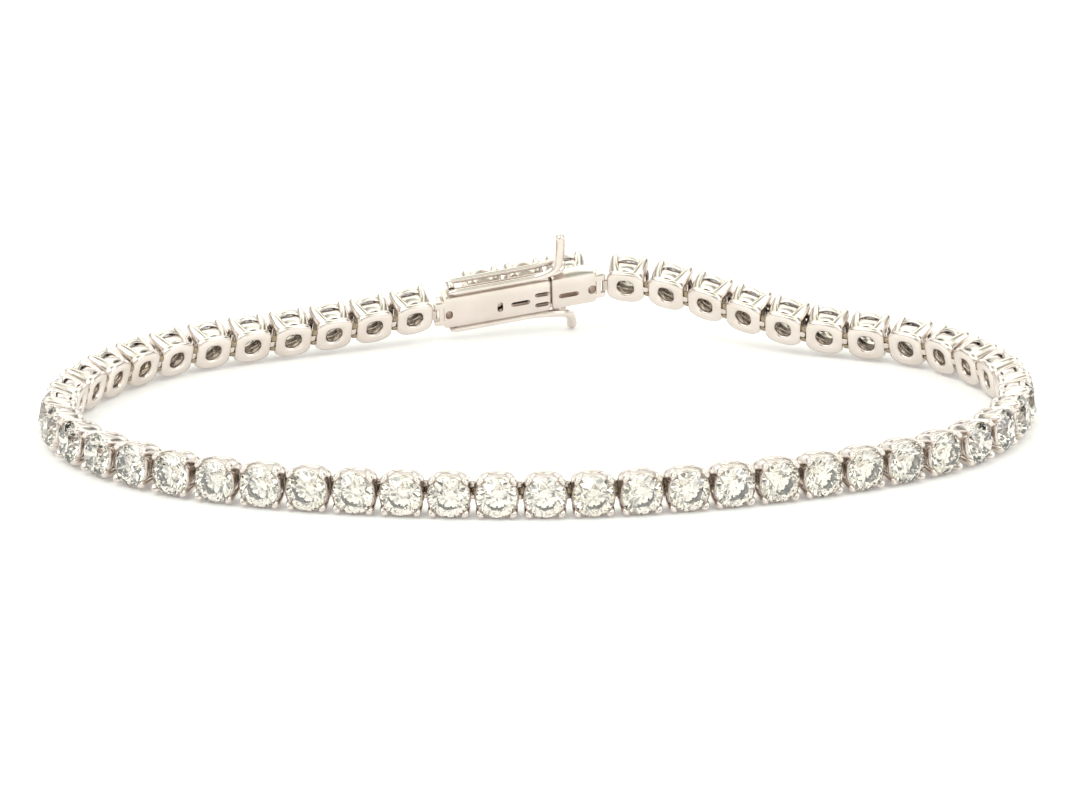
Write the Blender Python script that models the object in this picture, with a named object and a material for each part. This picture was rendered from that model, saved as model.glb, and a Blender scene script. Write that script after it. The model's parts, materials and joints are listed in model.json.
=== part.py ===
"""Tennis bracelet: fifty four-claw links with round brilliants, and a box clasp with two safety latches.

The bracelet lies on its side on the plane Z = 0, with its long way along X and its clasp at +Y.
A link and the clasp are each drawn in a frame of their own: t runs along the chain, r outwards from
the wrist to the stone, and h across the band, which is upwards as the bracelet lies.
"""
import bpy
import bmesh
import numpy as np
from math import asin, atan2, cos, hypot, pi, radians, sin
from mathutils import Matrix, Vector

MM = 0.001

# Chain
LINKS = 50
PITCH = 3.3 * MM
PIN_LEVEL = 0.3 * MM
CHAIN_GAP = 0.15 * MM

# Round brilliant, its levels counted from the link's inner face
STONE_RADIUS = 1.5 * MM
TABLE_RADIUS = 0.87 * MM
CULET_LEVEL = 0.72 * MM
GIRDLE_LEVEL = 2.05 * MM
TABLE_LEVEL = 2.62 * MM

# Link's base ring, collar and claws
BASE_HALF_LENGTH = 1.4 * MM
BASE_HALF_HEIGHT = 1.57 * MM
BASE_THICKNESS = 0.55 * MM
CULET_HOLE_RADIUS = 0.62 * MM
POST_THICKNESS = 0.42 * MM
COLLAR_LOW = 1.38 * MM
COLLAR_HIGH = 1.95 * MM
COLLAR_STAND = 0.02 * MM
CLAW_RADIUS = 1.7 * MM
CLAW_HALF_ANGLE = radians(11)
CLAW_LEVEL = 2.48 * MM
CLAW_LEAN = 0.16 * MM
CLAW_GRIP = 0.27 * MM
CLAW_TAPER = 0.85

# Eye on each end of the chain and the fork that holds it
EYE_RADIUS = 0.29 * MM
EYE_HALF_HEIGHT = 0.45 * MM
HINGE_PIN_RADIUS = 0.12 * MM
HINGE_CLEARANCE = 0.06 * MM
FORK_CLEARANCE = 0.17 * MM
EAR_THICKNESS = 0.48 * MM
EAR_REACH = 0.17 * MM
EAR_ROOT = 0.55 * MM

# Clasp: box on the left, tongue piece on the right
CLASP_LENGTH = 13.2 * MM
CLASP_END = 0.55 * MM
CLASP_DEPTH = 1.4 * MM
CLASP_HALF_HEIGHT = 1.5 * MM
CLASP_BEVEL = 0.14 * MM
CLASP_STONES = 3
BOX_STONES = 2
LAST_STONE_TO_PIN = 2.5 * MM
PARTING_GAP = 0.15 * MM
BOX_WALL = 0.3 * MM
BOX_CAVITY_LENGTH = 5.7 * MM
TONGUE_LENGTH = 4.8 * MM
TONGUE_CLEARANCE = 0.15 * MM
GALLERY_WIDTH = 1.8 * MM
GALLERY_HEIGHT = 0.4 * MM
SETTING_RISE = 0.5 * MM
SLOT_DEPTH = 0.4 * MM

# Safety latches
LATCH_HINGE = 1.35 * MM
LATCH_WIRE = 0.225 * MM
LATCH_STAND = 0.15 * MM
LATCH_INSET = 0.04 * MM
LATCH_PIN_RADIUS = 0.14 * MM
LATCH_TAIL = 0.25 * MM
TUBE_RADIUS = 0.32 * MM
TUBE_HALF_LENGTH = 0.32 * MM
FOOT_HALF_WIDTH = 0.22 * MM
FOOT_STEP = 0.02 * MM
STUD_FROM_PARTING = 0.45 * MM
STUD_RADIUS = 0.33 * MM
STUD_NECK_RADIUS = 0.17 * MM
STUD_HEIGHT = 0.5 * MM
STUD_CLEARANCE = 0.1 * MM
UPPER_TIP_HEIGHT = 2.9 * MM
LOWER_TIP_HEIGHT = 2.05 * MM
TIP_RADIUS = 0.4 * MM
UPPER_TIP_OFFSET = -0.35 * MM
LOWER_TIP_OFFSET = 0.4 * MM
RISER_RADIUS = 0.26 * MM
NOSE_RISE = 0.35 * MM

# How the bracelet lies
LEFT_LIFT = 0.85 * MM
RIGHT_RAMP = 21 * MM
LEFT_RAMP = 17 * MM
ROLL = radians(24)
ROLL_REACH = 70 * MM

# Plan of the loop in millimetres, clockwise from the clasp's middle, at about equal steps
ROUTE = [
    (-1.7, 21.7), (7.2, 22.1), (18.2, 17.0), (29.0, 12.6), (34.3, 2.1), (31.0, -9.3), (20.1, -16.9),
    (4.4, -21.6), (-11.9, -21.2), (-25.6, -17.0), (-33.5, -8.4), (-33.5, 1.3), (-27.1, 10.8), (-14.6, 17.0),
]

# Pierced slots in the clasp's inner face: middle along t, middle along h, length and height
BOX_SLOTS = [
    (5.0 * MM, -0.2 * MM, 0.45 * MM, 0.95 * MM),
    (6.6 * MM, -0.2 * MM, 1.5 * MM, 0.45 * MM),
    (8.3 * MM, 0.3 * MM, 1.15 * MM, 0.4 * MM),
    (8.3 * MM, -0.7 * MM, 1.15 * MM, 0.4 * MM),
]
TONGUE_SLOTS = [(10.4 * MM, -0.2 * MM, 1.6 * MM, 0.45 * MM)]

# Line of a latch's riser from its nose to its tip: shares of the way out and of the way up
RISER = [(0.0, 0.0), (0.6, 0.25), (1.0, 0.6), (1.0, 1.0)]

RING_SIDES = 8
NOSE_STEPS = 6
CURVE_STEPS = 40
METAL = (0.80, 0.77, 0.72)
STONE = (0.90, 0.89, 0.84)

LATCH_LEVEL = CLASP_HALF_HEIGHT + LATCH_STAND + LATCH_WIRE
LATCH_HALF_WIDTH = STUD_RADIUS + STUD_CLEARANCE + 2 * LATCH_WIRE
LATCH_DEPTH = LATCH_INSET + LATCH_HALF_WIDTH
STONE_PLACES = [CLASP_LENGTH - LAST_STONE_TO_PIN - PITCH * k for k in range(CLASP_STONES)][::-1]
PARTING = (STONE_PLACES[BOX_STONES - 1] + STONE_PLACES[BOX_STONES]) / 2
STUD_PLACE = PARTING + STUD_FROM_PARTING
NOSE_PLACE = STUD_PLACE + LATCH_HALF_WIDTH
LOWER_TIP_PLACE = NOSE_PLACE + LOWER_TIP_OFFSET


def clear_scene():
    for item in list(bpy.data.objects):
        bpy.data.objects.remove(item, do_unlink=True)


def material(name, colour, roughness, metallic):
    made = bpy.data.materials.new(name)
    made.use_nodes = True
    shader = made.node_tree.nodes["Principled BSDF"]
    shader.inputs["Base Color"].default_value = (*colour, 1)
    shader.inputs["Roughness"].default_value = roughness
    shader.inputs["Metallic"].default_value = metallic
    return made


class Shell:
    """Corners and faces of one closed body; faces are marked 0 for metal and 1 for stone."""

    def __init__(self):
        self.corners = []
        self.faces = []
        self.marks = []

    def add(self, frame, points):
        start = len(self.corners)
        self.corners += [frame @ Vector(point) for point in points]
        return list(range(start, len(self.corners)))

    def face(self, *loop, mark=0):
        self.faces.append(loop)
        self.marks.append(mark)

    def band(self, low, high, mark=0):
        """Joins two rings of as many corners by four-sided faces."""
        for k in range(len(low)):
            after = (k + 1) % len(low)
            self.face(low[k], low[after], high[after], high[k], mark=mark)

    def make(self, name, parent=None, place=(0, 0, 0)):
        mesh = bpy.data.meshes.new(name)
        mesh.from_pydata([tuple(c) for c in self.corners], [], self.faces)
        mesh.polygons.foreach_set("material_index", self.marks)
        work = bmesh.new()
        work.from_mesh(mesh)
        bmesh.ops.recalc_face_normals(work, faces=work.faces)
        work.to_mesh(mesh)
        work.free()
        made = bpy.data.objects.new(name, mesh)
        made.parent = parent
        made.location = place
        mesh.materials.append(material(name + "_metal", METAL, 0.22, 1.0))
        if any(self.marks):
            mesh.materials.append(material(name + "_stone", STONE, 0.05, 0.0))
        bpy.context.scene.collection.objects.link(made)
        return made


def octagon(half_t, half_h, level):
    """Eight corners whose flats lie half_t and half_h from the middle."""
    grow = 1 / cos(pi / 8)
    turns = [pi / 8 + pi / 4 * k for k in range(8)]
    return [(half_t * grow * cos(a), level, half_h * grow * sin(a)) for a in turns]


def collar_ring(level):
    """Twelve corners: the middle of each side at the stone, and two at each claw."""
    side = STONE_RADIUS + COLLAR_STAND
    ring = []
    for quarter in range(4):
        turn = pi / 2 * quarter
        ring.append((side * cos(turn), level, side * sin(turn)))
        for lean in (-CLAW_HALF_ANGLE, CLAW_HALF_ANGLE):
            angle = turn + pi / 4 + lean
            ring.append((CLAW_RADIUS * cos(angle), level, CLAW_RADIUS * sin(angle)))
    return ring


def polar(radius, angle, level):
    return (radius * cos(angle), level, radius * sin(angle))


def stone_and_claws(shell, frame, collar):
    """Closes a collar's upper ring with the stone's crown and table, gripped by four claws."""
    girdle = []
    for k in range(12):
        if k % 3 == 0:
            girdle.append(collar[k])
        else:
            girdle += shell.add(frame, [polar(STONE_RADIUS, pi / 6 * k, GIRDLE_LEVEL)])
    for quarter in range(4):
        side, first, last = 3 * quarter, 3 * quarter + 1, 3 * quarter + 2
        after = (3 * quarter + 3) % 12
        shell.face(collar[side], collar[first], girdle[first])
        shell.face(collar[last], collar[after], girdle[last])
        middle = pi / 4 + pi / 2 * quarter
        outer, inner = CLAW_RADIUS - CLAW_LEAN, CLAW_RADIUS - CLAW_LEAN - CLAW_GRIP
        spread = CLAW_HALF_ANGLE * CLAW_TAPER
        top = shell.add(frame, [
            polar(outer, middle - spread, CLAW_LEVEL - CLAW_LEAN),
            polar(outer, middle + spread, CLAW_LEVEL - CLAW_LEAN),
            polar(inner, middle + spread, CLAW_LEVEL),
            polar(inner, middle - spread, CLAW_LEVEL),
        ])
        shell.band([collar[first], collar[last], girdle[last], girdle[first]], top)
        shell.face(*top)
    table = shell.add(frame, [polar(TABLE_RADIUS, pi / 8 + pi / 4 * k, TABLE_LEVEL) for k in range(8)])
    for quarter in range(4):
        side, first, last = girdle[3 * quarter:3 * quarter + 3]
        after = girdle[(3 * quarter + 3) % 12]
        before, one, two = table[2 * quarter - 1], table[2 * quarter], table[2 * quarter + 1]
        shell.face(before, side, one, mark=1)
        shell.face(one, side, first, mark=1)
        shell.face(one, first, last, two, mark=1)
        shell.face(two, last, after, mark=1)
    shell.face(*table, mark=1)


def link(shell, frame):
    """Adds one link: base ring with its culet hole, four posts, collar, claws and stone.

    It returns the corners of its two end faces, left open for the next link or an end.
    """
    low = shell.add(frame, octagon(BASE_HALF_LENGTH, BASE_HALF_HEIGHT, 0))
    high = shell.add(frame, octagon(BASE_HALF_LENGTH, BASE_HALF_HEIGHT, BASE_THICKNESS))
    hole = shell.add(frame, octagon(CULET_HOLE_RADIUS, CULET_HOLE_RADIUS, 0))
    share = 1 - POST_THICKNESS / (BASE_HALF_LENGTH - CULET_HOLE_RADIUS)
    rim = octagon(BASE_HALF_LENGTH, BASE_HALF_HEIGHT, BASE_THICKNESS)
    seat = octagon(CULET_HOLE_RADIUS, CULET_HOLE_RADIUS, 0)
    foot = shell.add(frame, [Vector(s).lerp(Vector(r), share) for s, r in zip(seat, rim)])
    under = shell.add(frame, collar_ring(COLLAR_LOW))
    collar = shell.add(frame, collar_ring(COLLAR_HIGH))
    pavilion_share = (COLLAR_LOW - CULET_LEVEL) / (GIRDLE_LEVEL - CULET_LEVEL)
    cone = shell.add(frame, [polar(STONE_RADIUS * pavilion_share, pi / 8 + pi / 4 * k, COLLAR_LOW)
                             for k in range(8)])
    culet = shell.add(frame, [(0, CULET_LEVEL, 0)])[0]

    for k in range(8):
        after = (k + 1) % 8
        shell.face(low[k], low[after], hole[after], hole[k])
        shell.face(cone[k], cone[after], culet, mark=1)
        if k not in (3, 7):
            shell.face(low[k], low[after], high[after], high[k])
    for quarter in range(4):
        one, two = 2 * quarter, 2 * quarter + 1
        after = (two + 1) % 8
        shell.face(foot[one], foot[two], hole[two], hole[one])
        shell.face(high[two], high[after], foot[after], hole[after], hole[two], foot[two])
        first, last, side = 3 * quarter + 1, 3 * quarter + 2, (3 * quarter + 3) % 12
        inside = shell.add(frame, [
            polar(CLAW_RADIUS - POST_THICKNESS, pi / 4 + pi / 2 * quarter + lean, COLLAR_LOW)
            for lean in (-CLAW_HALF_ANGLE, CLAW_HALF_ANGLE)
        ])
        shell.band([high[one], high[two], foot[two], foot[one]],
                   [under[first], under[last], inside[1], inside[0]])
        shell.face(inside[0], inside[1], cone[two], cone[one])
        if quarter:
            shell.face(under[last_side], under[side_before], under[first], inside[0], cone[one],
                       cone[one - 1], inside_before)
        else:
            opening = (under[first], inside[0])
        last_side, side_before, inside_before = last, side, inside[1]
    shell.face(under[last_side], under[side_before], opening[0], opening[1], cone[0], cone[7], inside_before)
    shell.band(under, collar)
    stone_and_claws(shell, frame, collar)
    ahead = [low[0], low[7], high[7], high[0]]
    behind = [low[3], low[4], high[4], high[3]]
    return behind, ahead


def stub(shell, frame, end, length):
    """Ends a chain half in a short plain knuckle that stops before its neighbour."""
    moved = [shell.corners[k] + frame.to_3x3() @ Vector((length, 0, 0)) for k in end]
    tip = shell.add(Matrix(), moved)
    shell.band(end, tip)
    shell.face(*tip)


def eye(shell, frame, end):
    """Ends a chain half in an eye round the clasp's hinge pin, which stands along h at the frame's middle."""
    bore = HINGE_PIN_RADIUS + HINGE_CLEARANCE
    rings = []
    for radius in (EYE_RADIUS, bore):
        for height in (-EYE_HALF_HEIGHT, EYE_HALF_HEIGHT):
            turned = octagon(radius, radius, height)
            rings.append(shell.add(frame, [(t, PIN_LEVEL + r, level) for t, level, r in turned]))
    outer_low, outer_high, inner_low, inner_high = rings
    shell.band(outer_low, inner_low)
    shell.band(outer_high, inner_high)
    shell.band(inner_low, inner_high)
    for k in range(8):
        if k != 3:
            after = (k + 1) % 8
            shell.face(outer_low[k], outer_low[after], outer_high[after], outer_high[k])
    mouth = [outer_high[4], outer_low[4], outer_low[3], outer_high[3]]
    shell.band(end, mouth)


def smooth_loop():
    """Closed Catmull-Rom curve through the route's points, in metres."""
    points = np.array(ROUTE) * MM
    before, after, beyond = np.roll(points, 1, 0), np.roll(points, -1, 0), np.roll(points, -2, 0)
    u = (np.arange(CURVE_STEPS) / CURVE_STEPS)[None, :, None]
    a, b, c, d = (p[:, None, :] for p in (before, points, after, beyond))
    curve = b + 0.5 * u * (c - a + u * (2 * a - 5 * b + 4 * c - d + u * (3 * (b - c) + d - a)))
    return curve.reshape(-1, 2)


def ramp(share, lift, slope):
    """Height from lift, leaving at a slope, down to the level chain."""
    u = np.clip(share, 0, 1)
    return lift * (1 + u * u * (2 * u - 3)) + slope * u * (1 - u) ** 2


def clasp_tilt():
    """Tilt at which the clasp, its left end lifted, rests on the tip of its lower latch."""
    across = (LATCH_LEVEL + LOWER_TIP_HEIGHT) * cos(ROLL) - (LATCH_DEPTH - PIN_LEVEL) * sin(ROLL)
    middle = BASE_HALF_HEIGHT + LEFT_LIFT
    return atan2(across, LOWER_TIP_PLACE) - asin((middle - TIP_RADIUS) / hypot(across, LOWER_TIP_PLACE))


def chain_pins():
    """Places of the chain's hinge pins from the clasp's right end round to its left end."""
    plan = smooth_loop()
    plan = np.vstack([plan, plan[:1]])
    steps = np.linalg.norm(np.diff(plan, axis=0), axis=1)
    along = np.concatenate([[0], np.cumsum(steps)])
    chain = LINKS * PITCH
    grow = (chain + CLASP_LENGTH) / along[-1]
    plan, along = plan * grow, along * grow
    tilt = clasp_tilt()
    right_lift = LEFT_LIFT + CLASP_LENGTH * sin(tilt)
    from_right = along - CLASP_LENGTH / 2
    from_left = along[-1] - CLASP_LENGTH / 2 - along
    lift = ramp(from_right / RIGHT_RAMP, right_lift, 0)
    lift = lift + ramp(from_left / LEFT_RAMP, LEFT_LIFT, -sin(tilt) * LEFT_RAMP)
    keep = (from_right > -PITCH / 4) & (from_left > -PITCH / 4)
    line = np.column_stack([plan, BASE_HALF_HEIGHT + lift])[keep]
    length = np.concatenate([[0], np.cumsum(np.linalg.norm(np.diff(line, axis=0), axis=1))])
    first = (length[-1] - chain) / 2
    wanted = first + PITCH * np.arange(LINKS + 1)
    pins = np.column_stack([np.interp(wanted, length, line[:, axis]) for axis in range(3)])
    return [Vector(pin) for pin in pins]


def link_rolls():
    """Roll of each link: the clasp's own at both ends, fading to none along the chain."""
    middles = PITCH * (np.arange(LINKS) + 0.5)
    from_clasp = np.minimum(middles, LINKS * PITCH - middles)
    return [float(roll) for roll in ramp(from_clasp / ROLL_REACH, ROLL, 0)]


def frame_between(start, end, origin, roll):
    """Frame whose t runs from start to end and whose h leans from upright towards the wrist by roll."""
    t = (end - start).normalized()
    level = Vector((0, 0, 1)).cross(t).normalized()
    r = cos(roll) * level + sin(roll) * t.cross(level)
    h = t.cross(r)
    turn = Matrix((t, r, h)).transposed().to_4x4()
    return Matrix.Translation(origin) @ turn @ Matrix.Translation((0, -PIN_LEVEL, 0))


def chain_half(name, pins, rolls, eye_ahead, clasp_frame):
    """One half of the chain as one body; its free end faces the other half."""
    shell = Shell()
    before = None
    for start, end, roll in zip(pins, pins[1:], rolls):
        frame = frame_between(start, end, (start + end) / 2, roll)
        behind, ahead = link(shell, frame)
        if before:
            shell.band(before, behind)
        elif eye_ahead:
            shell.face(*behind)
        else:
            right_eye = clasp_frame @ Matrix.Translation((CLASP_LENGTH, 0, 0)) @ Matrix.Rotation(pi, 4, "Z")
            eye_frame = right_eye @ Matrix.Translation((0, -2 * PIN_LEVEL, 0))
            eye(shell, eye_frame, [behind[3], behind[2], behind[1], behind[0]])
        before = ahead
    if eye_ahead:
        eye(shell, clasp_frame, before)
    else:
        stub(shell, frame, before, PITCH - 2 * BASE_HALF_LENGTH - CHAIN_GAP)
    return shell.make(name)


def block(name, parent, low, high, bevel=0):
    """Plain block between two corners, its edges bevelled if a width is given."""
    middle = (Vector(low) + Vector(high)) / 2
    work = bmesh.new()
    bmesh.ops.create_cube(work, size=1)
    bmesh.ops.scale(work, vec=Vector(high) - Vector(low), verts=work.verts)
    if bevel:
        bmesh.ops.bevel(work, geom=work.edges[:], offset=bevel, segments=1, affect="EDGES")
    return solid(name, parent, work, middle)


def solid(name, parent, work, place):
    mesh = bpy.data.meshes.new(name)
    work.to_mesh(mesh)
    work.free()
    made = bpy.data.objects.new(name, mesh)
    mesh.materials.append(material(name, METAL, 0.22, 1.0))
    made.parent = parent
    made.location = place
    bpy.context.scene.collection.objects.link(made)
    return made


def rod(name, parent, radius, start, end, sides=RING_SIDES):
    """Straight round bar from start to end."""
    way = Vector(end) - Vector(start)
    work = bmesh.new()
    turn = Vector((0, 0, 1)).rotation_difference(way).to_matrix().to_4x4()
    roll = Matrix.Rotation(pi / sides, 4, "Z")
    bmesh.ops.create_cone(work, cap_ends=True, segments=sides, radius1=radius, radius2=radius,
                          depth=way.length, matrix=turn @ roll)
    return solid(name, parent, work, (Vector(start) + Vector(end)) / 2)


def ball(name, parent, radius, place):
    work = bmesh.new()
    bmesh.ops.create_uvsphere(work, u_segments=10, v_segments=6, radius=radius)
    return solid(name, parent, work, place)


def combine(target, tool, operation):
    """Boolean of target with a hidden tool."""
    tool.display_type = "WIRE"
    tool.hide_render = True
    step = target.modifiers.new(tool.name, "BOOLEAN")
    step.operation = operation
    step.object = tool
    step.solver = "EXACT"


def setting(name, parent, place):
    """Collar, claws and stone that stand on the clasp, sunk into it by half its depth."""
    shell = Shell()
    root = shell.add(Matrix(), collar_ring(CLASP_DEPTH / 2 - SETTING_RISE))
    collar = shell.add(Matrix(), collar_ring(COLLAR_HIGH))
    shell.face(*root)
    shell.band(root, collar)
    stone_and_claws(shell, Matrix(), collar)
    return shell.make(name, parent, (place, SETTING_RISE, 0))


def add_setting(target, number, place):
    """Solders a setting to the clasp and opens the gallery under its stone."""
    parent = target.parent
    combine(target, setting(f"tool_setting_{number}", parent, place), "UNION")
    half = GALLERY_WIDTH / 2
    reach = 2 * CLASP_HALF_HEIGHT
    low, high = (place - half, CLASP_DEPTH, -reach), (place + half, CLASP_DEPTH + GALLERY_HEIGHT, reach)
    combine(target, block(f"tool_gallery_{number}", parent, low, high), "DIFFERENCE")


def add_slots(target, slots, label):
    for number, (along, across, length, height) in enumerate(slots):
        low = (along - length / 2, -SLOT_DEPTH, across - height / 2)
        high = (along + length / 2, SLOT_DEPTH, across + height / 2)
        combine(target, block(f"tool_slot_{label}_{number}", target.parent, low, high), "DIFFERENCE")


def add_fork(target, pin, inward, label):
    """Two ears and the pin between them that the chain's end eye turns on; inward is 1 or -1 along t."""
    parent = target.parent
    inner = EYE_HALF_HEIGHT + FORK_CLEARANCE
    outer = inner + EAR_THICKNESS
    ends = sorted((pin - inward * EAR_REACH, pin + inward * (CLASP_END + EAR_ROOT)))
    for side in (-1, 1):
        heights = sorted((side * inner, side * outer))
        low = (ends[0], PIN_LEVEL - EYE_RADIUS, heights[0])
        high = (ends[1], PIN_LEVEL + EYE_RADIUS, heights[1])
        combine(target, block(f"tool_ear_{label}_{side + 1}", parent, low, high), "UNION")
    reach = inner + EAR_THICKNESS / 2
    pin_rod = rod(f"tool_pin_{label}", parent, HINGE_PIN_RADIUS, (pin, PIN_LEVEL, -reach), (pin, PIN_LEVEL, reach))
    combine(target, pin_rod, "UNION")


def clasp_box(parent):
    """Box with its cavity for the tongue, pierced inner face, two stones and two hinge tubes."""
    end = PARTING - PARTING_GAP / 2
    low, high = (CLASP_END, 0, -CLASP_HALF_HEIGHT), (end, CLASP_DEPTH, CLASP_HALF_HEIGHT)
    box = block("clasp_box", parent, low, high, CLASP_BEVEL)
    for number, place in enumerate(STONE_PLACES[:BOX_STONES]):
        add_setting(box, number, place)
    wide = CLASP_HALF_HEIGHT - BOX_WALL
    low, high = (end - BOX_CAVITY_LENGTH, BOX_WALL, -wide), (end + BOX_WALL, CLASP_DEPTH - BOX_WALL, wide)
    combine(box, block("tool_cavity", parent, low, high), "DIFFERENCE")
    add_slots(box, BOX_SLOTS, "box")
    add_fork(box, 0, 1, "left")
    for side in (-1, 1):
        foot_low, foot_high = sorted((side * (CLASP_HALF_HEIGHT - BOX_WALL), side * LATCH_LEVEL))
        low = (LATCH_HINGE - FOOT_HALF_WIDTH, LATCH_DEPTH - TUBE_HALF_LENGTH + FOOT_STEP, foot_low)
        high = (LATCH_HINGE + FOOT_HALF_WIDTH, LATCH_DEPTH + TUBE_HALF_LENGTH - FOOT_STEP, foot_high)
        combine(box, block(f"tool_foot_{side + 1}", parent, low, high), "UNION")
        start = (LATCH_HINGE, LATCH_DEPTH - TUBE_HALF_LENGTH, side * LATCH_LEVEL)
        stop = (LATCH_HINGE, LATCH_DEPTH + TUBE_HALF_LENGTH, side * LATCH_LEVEL)
        combine(box, rod(f"tool_tube_{side + 1}", parent, TUBE_RADIUS, start, stop), "UNION")
        past = Vector((0, TUBE_HALF_LENGTH, 0))
        bore = rod(f"tool_bore_{side + 1}", parent, LATCH_PIN_RADIUS + HINGE_CLEARANCE,
                   Vector(start) - past, Vector(stop) + past)
        combine(box, bore, "DIFFERENCE")
    return box


def clasp_tongue(parent):
    """Tongue piece: a block with one stone, the tongue inside the box, and the latches' ball studs."""
    start = PARTING + PARTING_GAP / 2
    low = (start, 0, -CLASP_HALF_HEIGHT)
    high = (CLASP_LENGTH - CLASP_END, CLASP_DEPTH, CLASP_HALF_HEIGHT)
    piece = block("clasp_tongue", parent, low, high, CLASP_BEVEL)
    for number, place in enumerate(STONE_PLACES[BOX_STONES:], BOX_STONES):
        add_setting(piece, number, place)
    wide = CLASP_HALF_HEIGHT - BOX_WALL - TONGUE_CLEARANCE
    low = (start - TONGUE_LENGTH, BOX_WALL + TONGUE_CLEARANCE, -wide)
    high = (start + 2 * CLASP_BEVEL, CLASP_DEPTH - BOX_WALL - TONGUE_CLEARANCE, wide)
    combine(piece, block("tool_tongue", parent, low, high), "UNION")
    add_slots(piece, TONGUE_SLOTS, "tongue")
    add_fork(piece, CLASP_LENGTH, -1, "right")
    for side in (-1, 1):
        root = (STUD_PLACE, LATCH_DEPTH, side * (CLASP_HALF_HEIGHT - BOX_WALL))
        top = (STUD_PLACE, LATCH_DEPTH, side * (CLASP_HALF_HEIGHT + STUD_HEIGHT))
        combine(piece, rod(f"tool_neck_{side + 1}", parent, STUD_NECK_RADIUS, root, top), "UNION")
        combine(piece, ball(f"tool_stud_{side + 1}", parent, STUD_RADIUS, top), "UNION")
    return piece


def swept_wire(shell, path, radius, guide, sides=6):
    """Round wire along a path that never runs along guide, closed at both ends."""
    path = [Vector(point) for point in path]
    rings = []
    for k, point in enumerate(path):
        way = (path[min(k + 1, len(path) - 1)] - path[max(k - 1, 0)]).normalized()
        across = way.cross(guide).normalized()
        up = across.cross(way)
        turns = [2 * pi * (n + 0.5) / sides for n in range(sides)]
        rings.append(shell.add(Matrix(), [point + radius * (cos(a) * across + sin(a) * up) for a in turns]))
    for low, high in zip(rings, rings[1:]):
        shell.band(low, high)
    shell.face(*rings[0])
    shell.face(*rings[-1])


def latch(name, parent, side, tip_offset, tip_height):
    """Safety latch: a long wire loop on its hinge pin, its nose flared and ending in a round tip.

    The object's origin is on the hinge's axis, which runs along r; side is 1 above the clasp, -1 below.
    """
    half = LATCH_HALF_WIDTH - LATCH_WIRE
    nose = STUD_PLACE - LATCH_HINGE
    loop = [(-LATCH_TAIL, -half, 0), (nose - half, -half, 0), (nose, -half, 0)]
    arc = [pi * k / NOSE_STEPS - pi / 2 for k in range(1, NOSE_STEPS)]
    loop += [(nose + half * cos(a), half * sin(a), side * NOSE_RISE * cos(a)) for a in arc]
    loop += [(nose, half, 0), (nose - half, half, 0), (-LATCH_TAIL, half, 0)]
    shell = Shell()
    swept_wire(shell, loop, LATCH_WIRE, Vector((0, 0, 1)))
    made = shell.make(name, parent, (LATCH_HINGE, LATCH_DEPTH, side * LATCH_LEVEL))
    pin = rod(f"tool_{name}_pin", made, LATCH_PIN_RADIUS, (0, -half, 0), (0, half, 0))
    combine(made, pin, "UNION")
    tip = NOSE_PLACE + tip_offset - LATCH_HINGE
    start = nose + half
    riser = Shell()
    rise = [(start + (tip - start) * t, 0, side * (NOSE_RISE + (tip_height - NOSE_RISE) * h)) for t, h in RISER]
    swept_wire(riser, rise, RISER_RADIUS, Vector((0, 1, 0)))
    combine(made, riser.make(f"tool_{name}_riser", made), "UNION")
    combine(made, ball(f"tool_{name}_tip", made, TIP_RADIUS, (tip, 0, side * tip_height)), "UNION")
    return made


def centre_on_floor():
    """Moves the bracelet so that its box is centred over the origin and stands on Z = 0."""
    bpy.context.view_layer.update()
    seen = bpy.context.evaluated_depsgraph_get()
    corners = []
    for item in bpy.data.objects:
        if item.type == "MESH" and not item.hide_render:
            shape = item.evaluated_get(seen)
            corners += [item.matrix_world @ vertex.co for vertex in shape.data.vertices]
    spread = np.array(corners)
    low, high = spread.min(0), spread.max(0)
    shift = Vector((-(low[0] + high[0]) / 2, -(low[1] + high[1]) / 2, -low[2]))
    for item in bpy.data.objects:
        if item.parent is None:
            item.location += shift


def main():
    clear_scene()
    pins = chain_pins()
    left, right = pins[-1], pins[0]
    level = (right - left) * Vector((1, 1, 0))
    tilt = clasp_tilt()
    way = level.normalized() * cos(tilt) + Vector((0, 0, sin(tilt)))
    shift = (left + right) / 2 - way * CLASP_LENGTH / 2
    start = Vector((shift.x, shift.y, BASE_HALF_HEIGHT + LEFT_LIFT))
    clasp = bpy.data.objects.new("clasp_frame", None)
    bpy.context.scene.collection.objects.link(clasp)
    clasp.matrix_world = frame_between(start, start + way, start, ROLL)
    rolls = link_rolls()
    middle = LINKS // 2
    chain_half("chain_right", pins[:middle + 1], rolls[:middle], False, clasp.matrix_world)
    chain_half("chain_left", pins[middle:], rolls[middle:], True, clasp.matrix_world)
    clasp_box(clasp)
    clasp_tongue(clasp)
    latch("latch_upper", clasp, 1, UPPER_TIP_OFFSET, UPPER_TIP_HEIGHT)
    latch("latch_lower", clasp, -1, LOWER_TIP_OFFSET, LOWER_TIP_HEIGHT)
    centre_on_floor()


main()
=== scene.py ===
"""Looks of the tennis bracelet: polished four-claw links, cut stones, box clasp and safety latches.

Every surface is worked out in a frame of its own: t runs along the chain, r outwards from the wrist to
the stone, and h across the band. Lengths in this file are metres, and MM turns millimetres into them.
"""
import json
from math import asin, atan2, cos, hypot, pi, radians, sin

import bpy
import numpy as np
from bpy.props import FloatProperty, FloatVectorProperty, IntProperty, PointerProperty
from mathutils import Matrix, Vector


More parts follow.
